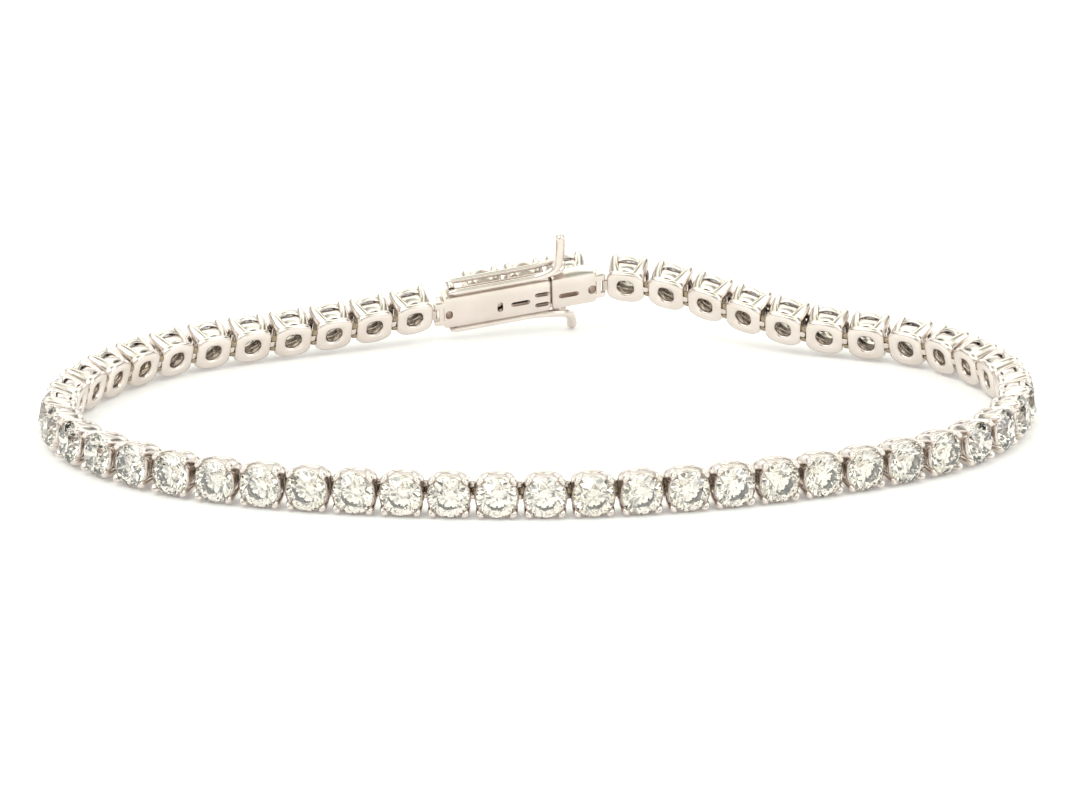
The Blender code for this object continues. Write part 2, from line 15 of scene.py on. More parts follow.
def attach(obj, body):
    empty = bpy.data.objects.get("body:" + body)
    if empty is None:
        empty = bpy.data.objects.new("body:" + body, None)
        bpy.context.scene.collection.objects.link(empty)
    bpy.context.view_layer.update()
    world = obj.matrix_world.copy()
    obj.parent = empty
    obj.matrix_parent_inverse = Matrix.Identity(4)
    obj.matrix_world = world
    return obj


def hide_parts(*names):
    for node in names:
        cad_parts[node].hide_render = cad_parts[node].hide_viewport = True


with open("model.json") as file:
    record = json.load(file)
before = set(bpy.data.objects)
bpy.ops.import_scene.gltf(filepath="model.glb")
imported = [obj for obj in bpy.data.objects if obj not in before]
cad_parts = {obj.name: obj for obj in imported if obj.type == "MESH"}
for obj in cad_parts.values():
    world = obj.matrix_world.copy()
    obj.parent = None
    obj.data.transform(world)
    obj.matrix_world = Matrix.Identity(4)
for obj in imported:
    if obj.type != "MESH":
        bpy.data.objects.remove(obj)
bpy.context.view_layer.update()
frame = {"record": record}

bl_info = {
    "name": "Tennis Bracelet",
    "version": (1, 0, 0),
    "blender": (4, 5, 0),
    "location": "View3D > Sidebar > Bracelet",
    "description": "Dresses a line bracelet with its links, stones, clasp and safety latches",
    "category": "Object",
}

MM = 0.001

# Chain, as the solids have it
LINKS = 50
PITCH = 3.3 * MM
PIN_LEVEL = 0.3 * MM
CLASP_LENGTH = 13.2 * MM
STONE_PLACES = [4.1 * MM, 7.4 * MM, 10.7 * MM]
ROLL = radians(24)
ROLL_REACH = 70 * MM
LEFT_LIFT = 0.85 * MM
RIGHT_RAMP = 21 * MM
LEFT_RAMP = 17 * MM
REST_HALF_HEIGHT = 1.57 * MM
CURVE_STEPS = 40
ROUTE = [
    (-1.7, 21.7), (7.2, 22.1), (18.2, 17.0), (29.0, 12.6), (34.3, 2.1), (31.0, -9.3), (20.1, -16.9),
    (4.4, -21.6), (-11.9, -21.2), (-25.6, -17.0), (-33.5, -8.4), (-33.5, 1.3), (-27.1, 10.8), (-14.6, 17.0),
]

# Metal of a link: radii about the stone's axis, and levels counted from the link's inner face. A rail has its
# inner and outer radius with what each gains at a claw, then its low and high level with the share of the
# corner fill that moves each at a claw.
RING_SIDES = 56
RING_START = 0.01 * MM
HINGE_DIP = 0.13 * MM
HINGE_DIP_SPREAD = 0.42
RAIL_SIDES = 40
RAIL_STEPS = 8
RAIL_ROUNDNESS = 2.4
RAILS = [
    (1.16 * MM, 0.08 * MM, 1.4 * MM, 0.14 * MM, 0.67 * MM, -1, 1.57 * MM, 0.5),
    (1.34 * MM, 0.04 * MM, 1.57 * MM, 0.06 * MM, 1.68 * MM, -0.5, 2.11 * MM, 0),
]
CLAW_REACH = [1.46 * MM, 1.58 * MM, 1.64 * MM, 1.61 * MM, 1.5 * MM]
CLAW_LEVELS = [0.95 * MM, 1.5 * MM, 1.95 * MM, 2.18 * MM, 2.3 * MM]
CLAW_FOOT_LEVEL = 0.3 * MM
CLAW_FOOT_RADIUS = 1.2 * MM
BEAD_SHARE = 0.16
LUG_RADIUS = 0.2 * MM
LUG_ROOT = -0.4 * MM
LUG_EDGE = 0.06 * MM
CENTRE_LUG_HALF = 0.24 * MM
OUTER_LUG_HALF = 0.17 * MM
OUTER_LUG_PLACE = 0.45 * MM
LINK_PIN_HALF = 0.66 * MM
PIN_RADIUS = 0.12 * MM
PIN_DOME = 0.05 * MM

# How far the gold darkens to its painted shade colour in a gap, on a lug's wrist side and on an end eye,
# where the hinges lie in shadow
GAP_SHADE = 1.0
LUG_SHADE = 0.15
EYE_SHADE = 0.35

# Round brilliant, its levels counted from the link's inner face
STONE_RADIUS = 1.53 * MM
CULET_LEVEL = 0.72 * MM
GIRDLE_LEVEL = 2.05 * MM
TABLE_LEVEL = 2.62 * MM
GIRDLE_HALF = 0.03 * MM
CROWN_SHARE = 0.5
PAVILION_SHARE = 0.22
STONE_TONES = 73
WARMTH_POWER = 1.5
STONE_IOR = 2.417
SETTING_RISE = 0.75 * MM

# Clasp and latches: their places and main measures are the solids'
CLASP_END = 0.55 * MM
CLASP_DEPTH = 1.4 * MM
CLASP_HALF_HEIGHT = 1.5 * MM
CLASP_START_LEVEL = 0.01 * MM
CLASP_EDGE = 0.26 * MM
CAVITY_EDGE = 0.08 * MM
PARTING = 9.05 * MM
PARTING_GAP = 0.06 * MM
BOX_WALL = 0.3 * MM
BOX_CAVITY_LENGTH = 5.7 * MM
TONGUE_LENGTH = 4.8 * MM
TONGUE_CLEARANCE = 0.15 * MM
TONGUE_OVERLAP = 0.3 * MM
CUTTER_HALF_DEPTH = 0.8 * MM
LATCH_HINGE = 1.35 * MM
LATCH_WIRE = 0.225 * MM
LATCH_LEVEL = 1.875 * MM
LATCH_HALF_WIDTH = 0.88 * MM
LATCH_DEPTH = 0.92 * MM
LATCH_TAIL = 0.25 * MM
LATCH_END_SHARE = 0.55
NOSE_LIFT_LENGTH = 2.4 * MM
NOSE_RISE = 0.35 * MM
TUBE_RADIUS = 0.32 * MM
TUBE_HALF_LENGTH = 0.32 * MM
TUBE_BORE = 0.2 * MM
FOOT_HALF_WIDTH = 0.22 * MM
FOOT_HALF_LENGTH = 0.3 * MM
FOOT_EDGE = 0.05 * MM
STUD_PLACE = 9.5 * MM
STUD_RADIUS = 0.33 * MM
STUD_NECK_RADIUS = 0.17 * MM
STUD_HEIGHT = 0.5 * MM
TIP_RADIUS = 0.4 * MM
LATCH_PIN_RADIUS = 0.14 * MM
UPPER_TIP = (-0.35 * MM, 2.9 * MM)
LOWER_TIP = (0.4 * MM, 2.05 * MM)
EYE_HALF_HEIGHT = 0.45 * MM
FORK_CLEARANCE = 0.17 * MM
FORK_BLOCK_START = 0.235 * MM
FORK_BLOCK_OVERLAP = 0.06 * MM
FORK_BLOCK_LOW = 0.05 * MM
FORK_BLOCK_INSET = 0.1 * MM
EAR_THICKNESS = 0.48 * MM
EAR_ROOT = 0.55 * MM
EAR_MIDDLE = 0.11 * MM
EAR_RADIUS = 0.28 * MM
EAR_EDGE = 0.07 * MM
BEARING_INNER = 1.0 * MM
BEARING_OUTER = 1.42 * MM
BEARING_DEPTH = 0.26 * MM
BEARING_OVERLAP = 0.04 * MM
CLASP_CLAW_FOOT_RADIUS = 1.26 * MM

# Course of a latch's riser: share of its length, of the loop's half width and of its height
RISER_LENGTH = 1.7 * MM
RISER_SHARES = [
    (0, 1, 0), (0.45, 0.97, 0.06), (0.75, 0.78, 0.19), (0.92, 0.4, 0.43), (0.99, 0.08, 0.72), (1, 0, 1),
]

# Pierced slots in the clasp's inner face: middle along t, middle along h, length and height
BOX_SLOTS = [
    (1.0 * MM, -0.1 * MM, 0.55 * MM, 0.8 * MM),
    (5.0 * MM, -0.2 * MM, 0.45 * MM, 0.95 * MM),
    (6.6 * MM, -0.2 * MM, 1.5 * MM, 0.45 * MM),
    (8.3 * MM, 0.3 * MM, 1.15 * MM, 0.4 * MM),
    (8.3 * MM, -0.7 * MM, 1.15 * MM, 0.4 * MM),
]
TONGUE_SLOTS = [
    (10.4 * MM, -0.2 * MM, 1.6 * MM, 0.45 * MM),
    (12.25 * MM, -0.1 * MM, 0.65 * MM, 0.85 * MM),
]

# Wear of the gold: size of its patches, and of its scratches, which are drawn out across the band
PATCH_SCALE = 420
SCRATCH_SCALE = 9000
SCRATCH_STRETCH = (1, 1, 6)
SCRATCH_DEPTH = 0.01 * MM
SCRATCH_ROUGHNESS = 0.1

# Light from all round: place from the nadir to the zenith, and strength, with a colour for each half
SKY_BANDS = [
    (0.0, 1.0), (0.2, 1.4), (0.34, 1.45), (0.42, 0.3), (0.56, 0.2), (0.64, 1.25), (0.93, 1.35), (1.0, 0.4),
]
LOW_COLOUR = (1, 1, 0.96)
HIGH_COLOUR = (1, 1.045, 0.92)
CARD_SCALE = 2.2
CARD_DARK = 0.5
CARD_BRIGHT = 1.1

# Soft lamps: name, place in metres, width in metres and power in watts
LAMPS = [
    ("key", (-0.35, -0.25, 0.6), 0.6, 1.8),
    ("fill", (0.45, -0.2, 0.45), 0.5, 1.2),
    ("rear", (0.05, 0.5, 0.4), 0.7, 0.8),
]
FLOOR_HALF = 1.5
FLOOR_ROUGHNESS = 0.8
FLOOR_GLOW = 0.12
VIEW_NEAR = 0.01
VIEW_FAR = 10

# Faces that meet at less than this angle are shaded as one surface
LINK_SMOOTH = radians(50)
CLASP_SMOOTH = radians(40)
LATCH_SMOOTH = radians(60)


def length_setting(name, description, default):
    """Number shown as a length."""
    return FloatProperty(name=name, description=description, default=default, unit="LENGTH", precision=5)


def colour_setting(name, description, default):
    """Colour of three numbers from 0 to 1."""
    return FloatVectorProperty(
        name=name, description=description, subtype="COLOR", default=default, min=0, max=1)


class LinkSizes(bpy.types.PropertyGroup):
    """Sizes of a link's ring, rails and claws"""

    ring_half_length: length_setting("Ring half length", "Half of the base ring along the chain", 1.58 * MM)
    ring_half_height: length_setting("Ring half height", "Half of the base ring across the band", 1.38 * MM)
    ring_depth: length_setting("Ring depth", "Thickness of the base ring", 0.52 * MM)
    hole_radius: length_setting("Culet hole", "Radius of the hole under the stone's point", 0.64 * MM)
    claw_radius: length_setting("Claw", "Radius of a claw's wire", 0.3 * MM)
    corner_fill: length_setting(
        "Corner fill", "How much deeper the ring and rails are at the claws", 0.28 * MM)


class StoneLook(bpy.types.PropertyGroup):
    """Cut and colour of the stones, and the dark reflections painted on their facets"""

    table_share: FloatProperty(
        name="Table", description="Table's width as a share of the stone's", default=0.53, min=0.4, max=0.7)
    clear_tint: colour_setting("Clear tint", "Colour of the whitest stones", (0.96, 0.895, 0.82))
    warm_tint: colour_setting("Warm tint", "Colour of the warmest stones", (0.95, 0.87, 0.755))
    # Painted reflection: random darkening of single facets that stands in for the dark flashes a cut stone
    # mirrors
    painted_facet_shade: FloatProperty(
        name="Facet shade", description="How much darker the darkest facets are", default=0.25, min=0, max=1)
    seed: IntProperty(
        name="Seed", description="Number that the stones' tints and turns start from", default=7)


class MetalLook(bpy.types.PropertyGroup):
    """Finish of the white gold, and the colour of the shade painted into its hinges"""

    bright: colour_setting("Bright", "Polished metal", (0.765, 0.695, 0.655))
    rubbed: colour_setting("Rubbed", "Metal where it is worn", (0.7, 0.625, 0.575))
    # This colour is painted shade: hinge gaps, lugs and end eyes darken towards it where they lie in shadow,
    # not because polishing misses them.
    painted_shade: colour_setting("Painted shade", "Metal inside the hinges, which polishing misses", (0.31, 0.25, 0.18))
    roughness: FloatProperty(
        name="Roughness", description="Polish of the metal", default=0.16, min=0, max=1)


class StageLook(bpy.types.PropertyGroup):
    """Floor, light and camera"""

    floor: colour_setting("Floor", "Colour of the floor", (0.93, 0.93, 0.93))
    elevation: FloatProperty(
        name="Elevation", description="Camera's height above the floor as an angle", subtype="ANGLE",
        default=radians(17))
    distance: FloatProperty(
        name="Distance", description="Camera's distance from its aim", default=0.5, unit="LENGTH")
    lens: FloatProperty(
        name="Lens", description="Focal length in millimetres on a 36 mm sensor", default=224.8)
    aim: FloatVectorProperty(
        name="Aim", description="Point that the camera looks at", subtype="TRANSLATION",
        default=(0.055 * MM, 3.6 * MM, 0.0), precision=5)
    sky: FloatProperty(name="Sky", description="Strength of the light from all round", default=0.97)


class Shape:
    """Points with four-sided and three-sided faces, kept as arrays; marks hold one number a face."""

    def __init__(self, points, quads=None, triangles=None, marks=None):
        self.points = np.asarray(points, float).reshape(-1, 3)
        self.quads = np.zeros((0, 4), int) if quads is None else np.asarray(quads, int)
        self.triangles = np.zeros((0, 3), int) if triangles is None else np.asarray(triangles, int)
        faces = len(self.quads) + len(self.triangles)
        self.marks = np.zeros(faces) if marks is None else np.asarray(marks, float)

    def moved(self, matrix):
        """Point times the matrix's turn, plus its shift; a mirror also turns the faces round."""
        turn, shift = np.array(matrix)[:3, :3], np.array(matrix)[:3, 3]
        points = self.points @ turn.T + shift
        if np.linalg.det(turn) < 0:
            return Shape(points, self.quads[:, ::-1], self.triangles[:, ::-1], self.marks)
        return Shape(points, self.quads, self.triangles, self.marks)

    def shifted(self, t=0, r=0, h=0):
        """The shape moved along the three ways of its frame."""
        return self.moved(Matrix.Translation((t, r, h)))


def joined(shapes):
    """One shape of many: each shape's numbers are raised by the count of the points before it."""
    starts = np.cumsum([0] + [len(s.points) for s in shapes[:-1]])
    quads = np.vstack([s.quads + start for s, start in zip(shapes, starts)])
    triangles = np.vstack([s.triangles + start for s, start in zip(shapes, starts)])
    marks = np.concatenate([s.marks[:len(s.quads)] for s in shapes]
                           + [s.marks[len(s.quads):] for s in shapes])
    return Shape(np.vstack([s.points for s in shapes]), quads, triangles, marks)


def grid(points, closed=False):
    """Solid over rings of points: each face joins two neighbours of a ring to two of the next ring.

    A closed grid joins its last ring to its first, and any other is capped at both ends, with a fan of
    triangles from the middle of the ring.
    """
    rings, sides = points.shape[:2]
    steps = np.arange(rings if closed else rings - 1), np.arange(sides)
    row, column = (number.ravel() for number in np.meshgrid(*steps, indexing="ij"))
    here, ahead = row * sides, (row + 1) % rings * sides
    beside = (column + 1) % sides
    quads = np.column_stack([here + column, here + beside, ahead + beside, ahead + column])
    flat = points.reshape(-1, 3)
    if closed:
        return outward(Shape(flat, quads))
    turn = np.arange(sides)
    after = (turn + 1) % sides
    last = (rings - 1) * sides
    pole = np.full(sides, len(flat))
    caps = [np.column_stack([after, turn, pole]), np.column_stack([last + turn, last + after, pole + 1])]
    flat = np.vstack([flat, points[0].mean(0), points[-1].mean(0)])
    return outward(Shape(flat, quads, np.vstack(caps)))


def rounded_outline(angle, half_t, half_h, power):
    """Radius of a rounded rectangle: one over the power root of |cos a / A|^p + |sin a / B|^p."""
    total = np.abs(np.cos(angle) / half_t) ** power + np.abs(np.sin(angle) / half_h) ** power
    return total ** (-1 / power)


def rounded_profile(steps, roundness):
    """Points round a unit square with soft corners, from -1 to 1 each way, by the outline's formula."""
    angle = np.arange(steps) * 2 * pi / steps
    radius = rounded_outline(angle, 1, 1, roundness)
    return radius * np.cos(angle), radius * np.sin(angle)


def ring(inner, outer, low, high, sides, steps, roundness):
    """Ring about r: at each angle the profile runs between the inner and outer radius, and low and high.

    Point = ((middle + half width * x) cos a, middle level + half depth * y, (middle + half width * x) sin a),
    where each of the four bounds is a number or an array with a number for each side.
    """
    angle = np.arange(sides) * 2 * pi / sides
    x, y = rounded_profile(steps, roundness)
    inner, outer, low, high = (np.broadcast_to(bound, sides)[:, None] for bound in (inner, outer, low, high))
    radius = (inner + outer) / 2 + (outer - inner) / 2 * x
    level = (low + high) / 2 + (high - low) / 2 * y
    points = np.stack([radius * np.cos(angle)[:, None], level, radius * np.sin(angle)[:, None]], -1)
    return grid(points, closed=True)


def tube(path, radius, guide, sides, breadth=1.0):
    """Closed wire: at each point of the path, radius * (cos a * across + breadth * sin a * up).

    Across is square to the path and the guide, and up is square to the path and across.
    """
    path = np.asarray(path, float)
    radius = np.broadcast_to(radius, len(path))
    way = np.gradient(path, axis=0)
    way /= np.linalg.norm(way, axis=1)[:, None]
    across = np.cross(way, guide)
    across /= np.linalg.norm(across, axis=1)[:, None]
    up = np.cross(across, way) * np.broadcast_to(breadth, len(path))[:, None]
    angle = np.arange(sides) * 2 * pi / sides
    cosine, sine = np.cos(angle)[None, :, None], np.sin(angle)[None, :, None]
    spread = cosine * across[:, None, :] + sine * up[:, None, :]
    points = path[:, None, :] + radius[:, None, None] * spread
    return grid(points)


def spline(a, b, c, d, steps):
    """Catmull-Rom curve from b to c: b + u/2 (c - a + u (2a - 5b + 4c - d + u (3 (b - c) + d - a)))."""
    u = (np.arange(steps) / steps)[None, :, None]
    return b + 0.5 * u * (c - a + u * (2 * a - 5 * b + 4 * c - d + u * (3 * (b - c) + d - a)))


def smooth_path(points, steps):
    """Open spline through the points, with one more point in line with each end."""
    points = np.asarray(points, float)
    padded = np.vstack([2 * points[0] - points[1], points, 2 * points[-1] - points[-2]])
    corners = (padded[k:len(padded) - 3 + k, None, :] for k in range(4))
    return np.vstack([spline(*corners, steps).reshape(-1, 3), points[-1:]])


def turned(profile, sides):
    """Solid of revolution about h: a row (radius, height) becomes (radius cos a, radius sin a, height)."""
    profile = np.asarray(profile, float)
    angle = np.arange(sides) * 2 * pi / sides
    radius, height = profile[:, :1], np.broadcast_to(profile[:, 1:], (len(profile), sides))
    points = np.stack([radius * np.cos(angle), radius * np.sin(angle), height], -1)
    return grid(points)


def pillow(outline, half, edge, power, steps):
    """Slab with soft edges: the outline shrinks by edge * (1 - (1 - |s|^p)^(1/p)) as s nears either end.

    The outline is an array of (t, r) points, and the slab runs from -half to half along h.
    """
    share = np.sin(np.linspace(-pi / 2, pi / 2, steps))
    soft = np.clip((np.abs(share) * half - (half - edge)) / edge, 0, 1)
    shrink = edge * (1 - (1 - soft ** power) ** (1 / power))
    outline = np.asarray(outline, float)
    way = np.roll(outline, -1, 0) - np.roll(outline, 1, 0)
    way /= np.linalg.norm(way, axis=1)[:, None]
    inward = np.column_stack([-way[:, 1], way[:, 0]])
    flat = outline[None] + inward[None] * shrink[:, None, None]
    height = np.broadcast_to((share * half)[:, None], flat.shape[:2])
    points = np.stack([flat[..., 0], flat[..., 1], height], -1)
    return grid(points)


def shell_volume(shape):
    """Signed volume: a sixth of the sum of a . (b x c) over the triangles."""
    halves = np.vstack([shape.quads[:, [0, 1, 2]], shape.quads[:, [0, 2, 3]], shape.triangles])
    a, b, c = (shape.points[halves[:, k]] for k in range(3))
    return float((a * np.cross(b, c)).sum() / 6)


def outward(shape):
    """The shape with its faces pointing out."""
    if shell_volume(shape) < 0:
        return Shape(shape.points, shape.quads[:, ::-1], shape.triangles[:, ::-1], shape.marks)
    return shape


def new_piece(name, shape, material, smooth_angle=None):
    """Object at the origin from a shape, smooth up to an angle, or flat if none is given.

    The shape's marks become a face attribute that darkens the gold with painted shade where the hinges lie in
    shadow.
    """
    mesh = bpy.data.meshes.new(name)
    mesh.from_pydata(shape.points.tolist(), [], shape.quads.tolist() + shape.triangles.tolist())
    mesh.materials.append(material)
    mesh.attributes.new("painted_shade", "FLOAT", "FACE").data.foreach_set("value", shape.marks)
    if smooth_angle is not None:
        mesh.shade_smooth()
        mesh.set_sharp_from_angle(angle=smooth_angle)
    piece = bpy.data.objects.new(name, mesh)
    bpy.context.scene.collection.objects.link(piece)
    return piece


def many(shape, frames):
    """A copy of the shape in each frame, joined."""
    return joined([shape.moved(place) for place in frames])


# Where the chain runs

def smooth_loop():
    """Closed spline through the route's points, in metres."""
    points = np.array(ROUTE) * MM
    corners = (np.roll(points, k, 0)[:, None, :] for k in (1, 0, -1, -2))
    return spline(*corners, CURVE_STEPS).reshape(-1, 2)


def ramp(share, lift, slope):
    """Height from lift, leaving at a slope, down to none: lift (1 - 3u^2 + 2u^3) + slope u (1 - u)^2."""
    u = np.clip(share, 0, 1)
    return lift * (1 + u * u * (2 * u - 3)) + slope * u * (1 - u) ** 2


def clasp_tilt():
    """Tilt at which the clasp, its left end lifted, rests on the tip of its lower latch."""
    offset, height = LOWER_TIP
    place = STUD_PLACE + LATCH_HALF_WIDTH + offset
    across = (LATCH_LEVEL + height) * cos(ROLL) - (LATCH_DEPTH - PIN_LEVEL) * sin(ROLL)
    middle = REST_HALF_HEIGHT + LEFT_LIFT
    return atan2(across, place) - asin((middle - TIP_RADIUS) / hypot(across, place))


def chain_pins():
    """Places of the chain's hinge pins from the clasp's right end round to its left end."""
    plan = smooth_loop()
    plan = np.vstack([plan, plan[:1]])
    along = np.concatenate([[0], np.cumsum(np.linalg.norm(np.diff(plan, axis=0), axis=1))])
    chain = LINKS * PITCH
    grow = (chain + CLASP_LENGTH) / along[-1]
    plan, along = plan * grow, along * grow
    tilt = clasp_tilt()
    right_lift = LEFT_LIFT + CLASP_LENGTH * sin(tilt)
    from_right = along - CLASP_LENGTH / 2
    from_left = along[-1] - CLASP_LENGTH / 2 - along
    lift = ramp(from_right / RIGHT_RAMP, right_lift, 0)
    lift = lift + ramp(from_left / LEFT_RAMP, LEFT_LIFT, -sin(tilt) * LEFT_RAMP)
    keep = (from_right > -PITCH / 4) & (from_left > -PITCH / 4)
    line = np.column_stack([plan, REST_HALF_HEIGHT + lift])[keep]
    length = np.concatenate([[0], np.cumsum(np.linalg.norm(np.diff(line, axis=0), axis=1))])
    first = (length[-1] - chain) / 2
    wanted = first + PITCH * np.arange(LINKS + 1)
    pins = np.column_stack([np.interp(wanted, length, line[:, axis]) for axis in range(3)])
    return [Vector(pin) for pin in pins]


def frame_between(start, end, origin, roll):
    """Frame whose t runs from start to end and whose h leans from upright towards the wrist by roll."""
    t = (end - start).normalized()
    level = Vector((0, 0, 1)).cross(t).normalized()
    r = cos(roll) * level + sin(roll) * t.cross(level)
    turn = Matrix((t, r, t.cross(r))).transposed().to_4x4()
    return Matrix.Translation(origin) @ turn @ Matrix.Translation((0, -PIN_LEVEL, 0))


def bracelet_frames():
    """Frames of the fifty links and of the clasp, moved to where the solids' latch hinge is."""
    pins = chain_pins()
    middles = PITCH * (np.arange(LINKS) + 0.5)
    from_clasp = np.minimum(middles, LINKS * PITCH - middles)
    rolls = ramp(from_clasp / ROLL_REACH, ROLL, 0)
    links = [frame_between(a, b, (a + b) / 2, float(roll)) for a, b, roll in zip(pins, pins[1:], rolls)]
    level = (pins[0] - pins[-1]) * Vector((1, 1, 0))
    tilt = clasp_tilt()
    way = level.normalized() * cos(tilt) + Vector((0, 0, sin(tilt)))
    start = (pins[-1] + pins[0]) / 2 - way * CLASP_LENGTH / 2
    start.z = REST_HALF_HEIGHT + LEFT_LIFT
    clasp = frame_between(start, start + way, start, ROLL)
    joints = frame["record"]["behaviour"]["joints"]
    hinge = next(joint for joint in joints if joint["name"] == "latch_upper_hinge")
    shift = Vector(hinge["pos_m"]) - clasp @ Vector((LATCH_HINGE, LATCH_DEPTH, LATCH_LEVEL))
    move = Matrix.Translation(shift)
    return [move @ link for link in links], move @ clasp


# Finishes

def set_inputs(node, **values):
    """Gives values to a node's inputs; an underscore in an input's name stands for a space."""
    for name, value in values.items():
        node.inputs[name.replace("_", " ")].default_value = value
    return node


def add_node(tree, kind, **values):
    """New node of a kind with values for its inputs."""
    return set_inputs(tree.nodes.new(kind), **values)


def add_links(tree, *rows):
    """Links between nodes: each row is a node, its output, the node that takes it and that node's input."""
    for source, output, target, taker in rows:
        tree.links.new(source.outputs[output], target.inputs[taker])


def new_material(name, **values):
    """Material with values for its shader's inputs, and its tree and shader to link to."""
    made = bpy.data.materials.new(name)
    made.use_nodes = True
    return made, made.node_tree, set_inputs(made.node_tree.nodes["Principled BSDF"], **values)


def handling_wear():
    """Group of fine wear: colour from bright to rubbed, roughness and a bump, from noise on Object points."""
    if "handling_wear" in bpy.data.node_groups:
        return bpy.data.node_groups["handling_wear"]
    group = bpy.data.node_groups.new("handling_wear", "ShaderNodeTree")
    for way, kind, names in (
        ("INPUT", "NodeSocketColor", ("Bright", "Rubbed")),
        ("INPUT", "NodeSocketFloat", ("Roughness", "Scale", "Scratches")),
        ("OUTPUT", "NodeSocketColor", ("Color",)),
        ("OUTPUT", "NodeSocketFloat", ("Roughness",)),
        ("OUTPUT", "NodeSocketVector", ("Normal",)),
    ):
        for name in names:
            group.interface.new_socket(name=name, in_out=way, socket_type=kind)
    start, end = add_node(group, "NodeGroupInput"), add_node(group, "NodeGroupOutput")
    place = add_node(group, "ShaderNodeTexCoord")
    cloud = add_node(group, "ShaderNodeTexNoise", Detail=3)
    spread = add_node(group, "ShaderNodeMapRange", From_Min=0.35, From_Max=0.7)
    tone = add_node(group, "ShaderNodeMix")
    tone.data_type = "RGBA"
    stretch = add_node(group, "ShaderNodeMapping", Scale=SCRATCH_STRETCH)
    lines = add_node(group, "ShaderNodeTexNoise", Scale=SCRATCH_SCALE, Detail=2)
    rough = add_node(group, "ShaderNodeMath")
    rough.operation = "MULTIPLY_ADD"
    rough.inputs[1].default_value = SCRATCH_ROUGHNESS
    bump = add_node(group, "ShaderNodeBump", Distance=SCRATCH_DEPTH)
    add_links(
        group,
        (place, "Object", cloud, "Vector"), (start, "Scale", cloud, "Scale"), (cloud, "Fac", spread, "Value"),
        (spread, "Result", tone, "Factor"), (start, "Bright", tone, "A"), (start, "Rubbed", tone, "B"),
        (tone, "Result", end, "Color"),
        (place, "Object", stretch, "Vector"), (stretch, "Vector", lines, "Vector"),
        (lines, "Fac", rough, 0), (start, "Roughness", rough, 2), (rough, "Value", end, "Roughness"),
        (start, "Scratches", bump, "Strength"), (lines, "Fac", bump, "Height"),
        (bump, "Normal", end, "Normal"),
    )
    return group


def white_gold(name, scratches, extra_roughness):
    """Polished white gold with its own share of scratches and roughness, darkened with painted shade where
    its faces are marked.
    """
    look = bpy.context.scene.bracelet_metal
    made, tree, shader = new_material(name, Metallic=1.0)
    wear = add_node(tree, "ShaderNodeGroup")
    wear.node_tree = handling_wear()
    set_inputs(wear, Bright=(*look.bright, 1), Rubbed=(*look.rubbed, 1), Scale=PATCH_SCALE,
               Roughness=look.roughness + extra_roughness, Scratches=scratches)
    # Painted shade: marked faces mix towards the shade colour, standing in for shadow in the hinges
    painted_shade = add_node(tree, "ShaderNodeAttribute")
    painted_shade.attribute_name = "painted_shade"
    darker = add_node(tree, "ShaderNodeMix")
    darker.data_type = "RGBA"
    darker.inputs["B"].default_value = (*look.painted_shade, 1)
    add_links(
        tree,
        (painted_shade, "Fac", darker, "Factor"), (wear, "Color", darker, "A"),
        (darker, "Result", shader, "Base Color"),
        (wear, "Roughness", shader, "Roughness"), (wear, "Normal", shader, "Normal"),
    )
    return made


def cut_stone():
    """Clear stone whose facets take their tint from the mesh's own colours, which hold the stone's own tint
    times painted dark reflections.
    """
    made, tree, shader = new_material("cut_stone", Roughness=0.0, Transmission_Weight=1.0, IOR=STONE_IOR)
    tint = add_node(tree, "ShaderNodeAttribute")
    tint.attribute_name = "tint"
    add_links(tree, (tint, "Color", shader, "Base Color"))
    return made


def studio_world(strength):
    """Light from all round: soft bands by height, broken by broad dark cards from noise on the direction."""
    world = bpy.data.worlds.new("studio")
    world.use_nodes = True
    tree = world.node_tree
    way = add_node(tree, "ShaderNodeTexCoord")
    parts = add_node(tree, "ShaderNodeSeparateXYZ")
    bands = add_node(tree, "ShaderNodeValToRGB")
    stops = bands.color_ramp.elements
    while len(stops) < len(SKY_BANDS):
        stops.new(0.5)
    for stop, (place, value) in zip(stops, SKY_BANDS):
        colour = HIGH_COLOUR if place > 0.5 else LOW_COLOUR
        stop.position = place
        stop.color = (*(value * channel for channel in colour), 1)
    cloud = add_node(tree, "ShaderNodeTexNoise", Scale=CARD_SCALE, Detail=1)
    cards = add_node(tree, "ShaderNodeMapRange",
                     From_Min=0.4, From_Max=0.5, To_Min=CARD_DARK, To_Max=CARD_BRIGHT)
    light = add_node(tree, "ShaderNodeVectorMath")
    light.operation = "SCALE"
    glow = set_inputs(tree.nodes["Background"], Strength=strength)
    add_links(
        tree,
        (way, "Generated", parts, "Vector"), (parts, "Z", bands, "Fac"), (way, "Generated", cloud, "Vector"),
        (cloud, "Fac", cards, "Value"), (bands, "Color", light, "Vector"), (cards, "Result", light, "Scale"),
        (light, "Vector", glow, "Color"),
    )
    return world


# Links

def claw_shape(sizes, foot_level, foot_radius):
    """One claw at 45 degrees: a wire from the foot, up past the girdle, that ends in a bead on the stone.

    The bead is round, radius * sqrt(1 - v^2), as v goes from 0 to 1 over the wire's last share, and the wire
    is broader round the stone towards its foot.
    """
    slant = 1 / np.sqrt(2)
    reach = np.array([foot_radius, *CLAW_REACH]) * slant
    path = smooth_path(np.column_stack([reach, [foot_level, *CLAW_LEVELS], reach]), 4)
    share = np.linspace(0, 1, len(path))
    last = ((share - (1 - BEAD_SHARE)) / BEAD_SHARE).clip(0, 1)
    dome = np.sqrt(np.clip(1 - last ** 2, 0.03, 1))
    breadth = 1 + (1 - share) ** 1.3
    return tube(path, sizes.claw_radius * dome, (-slant, 0, slant), 12, breadth)


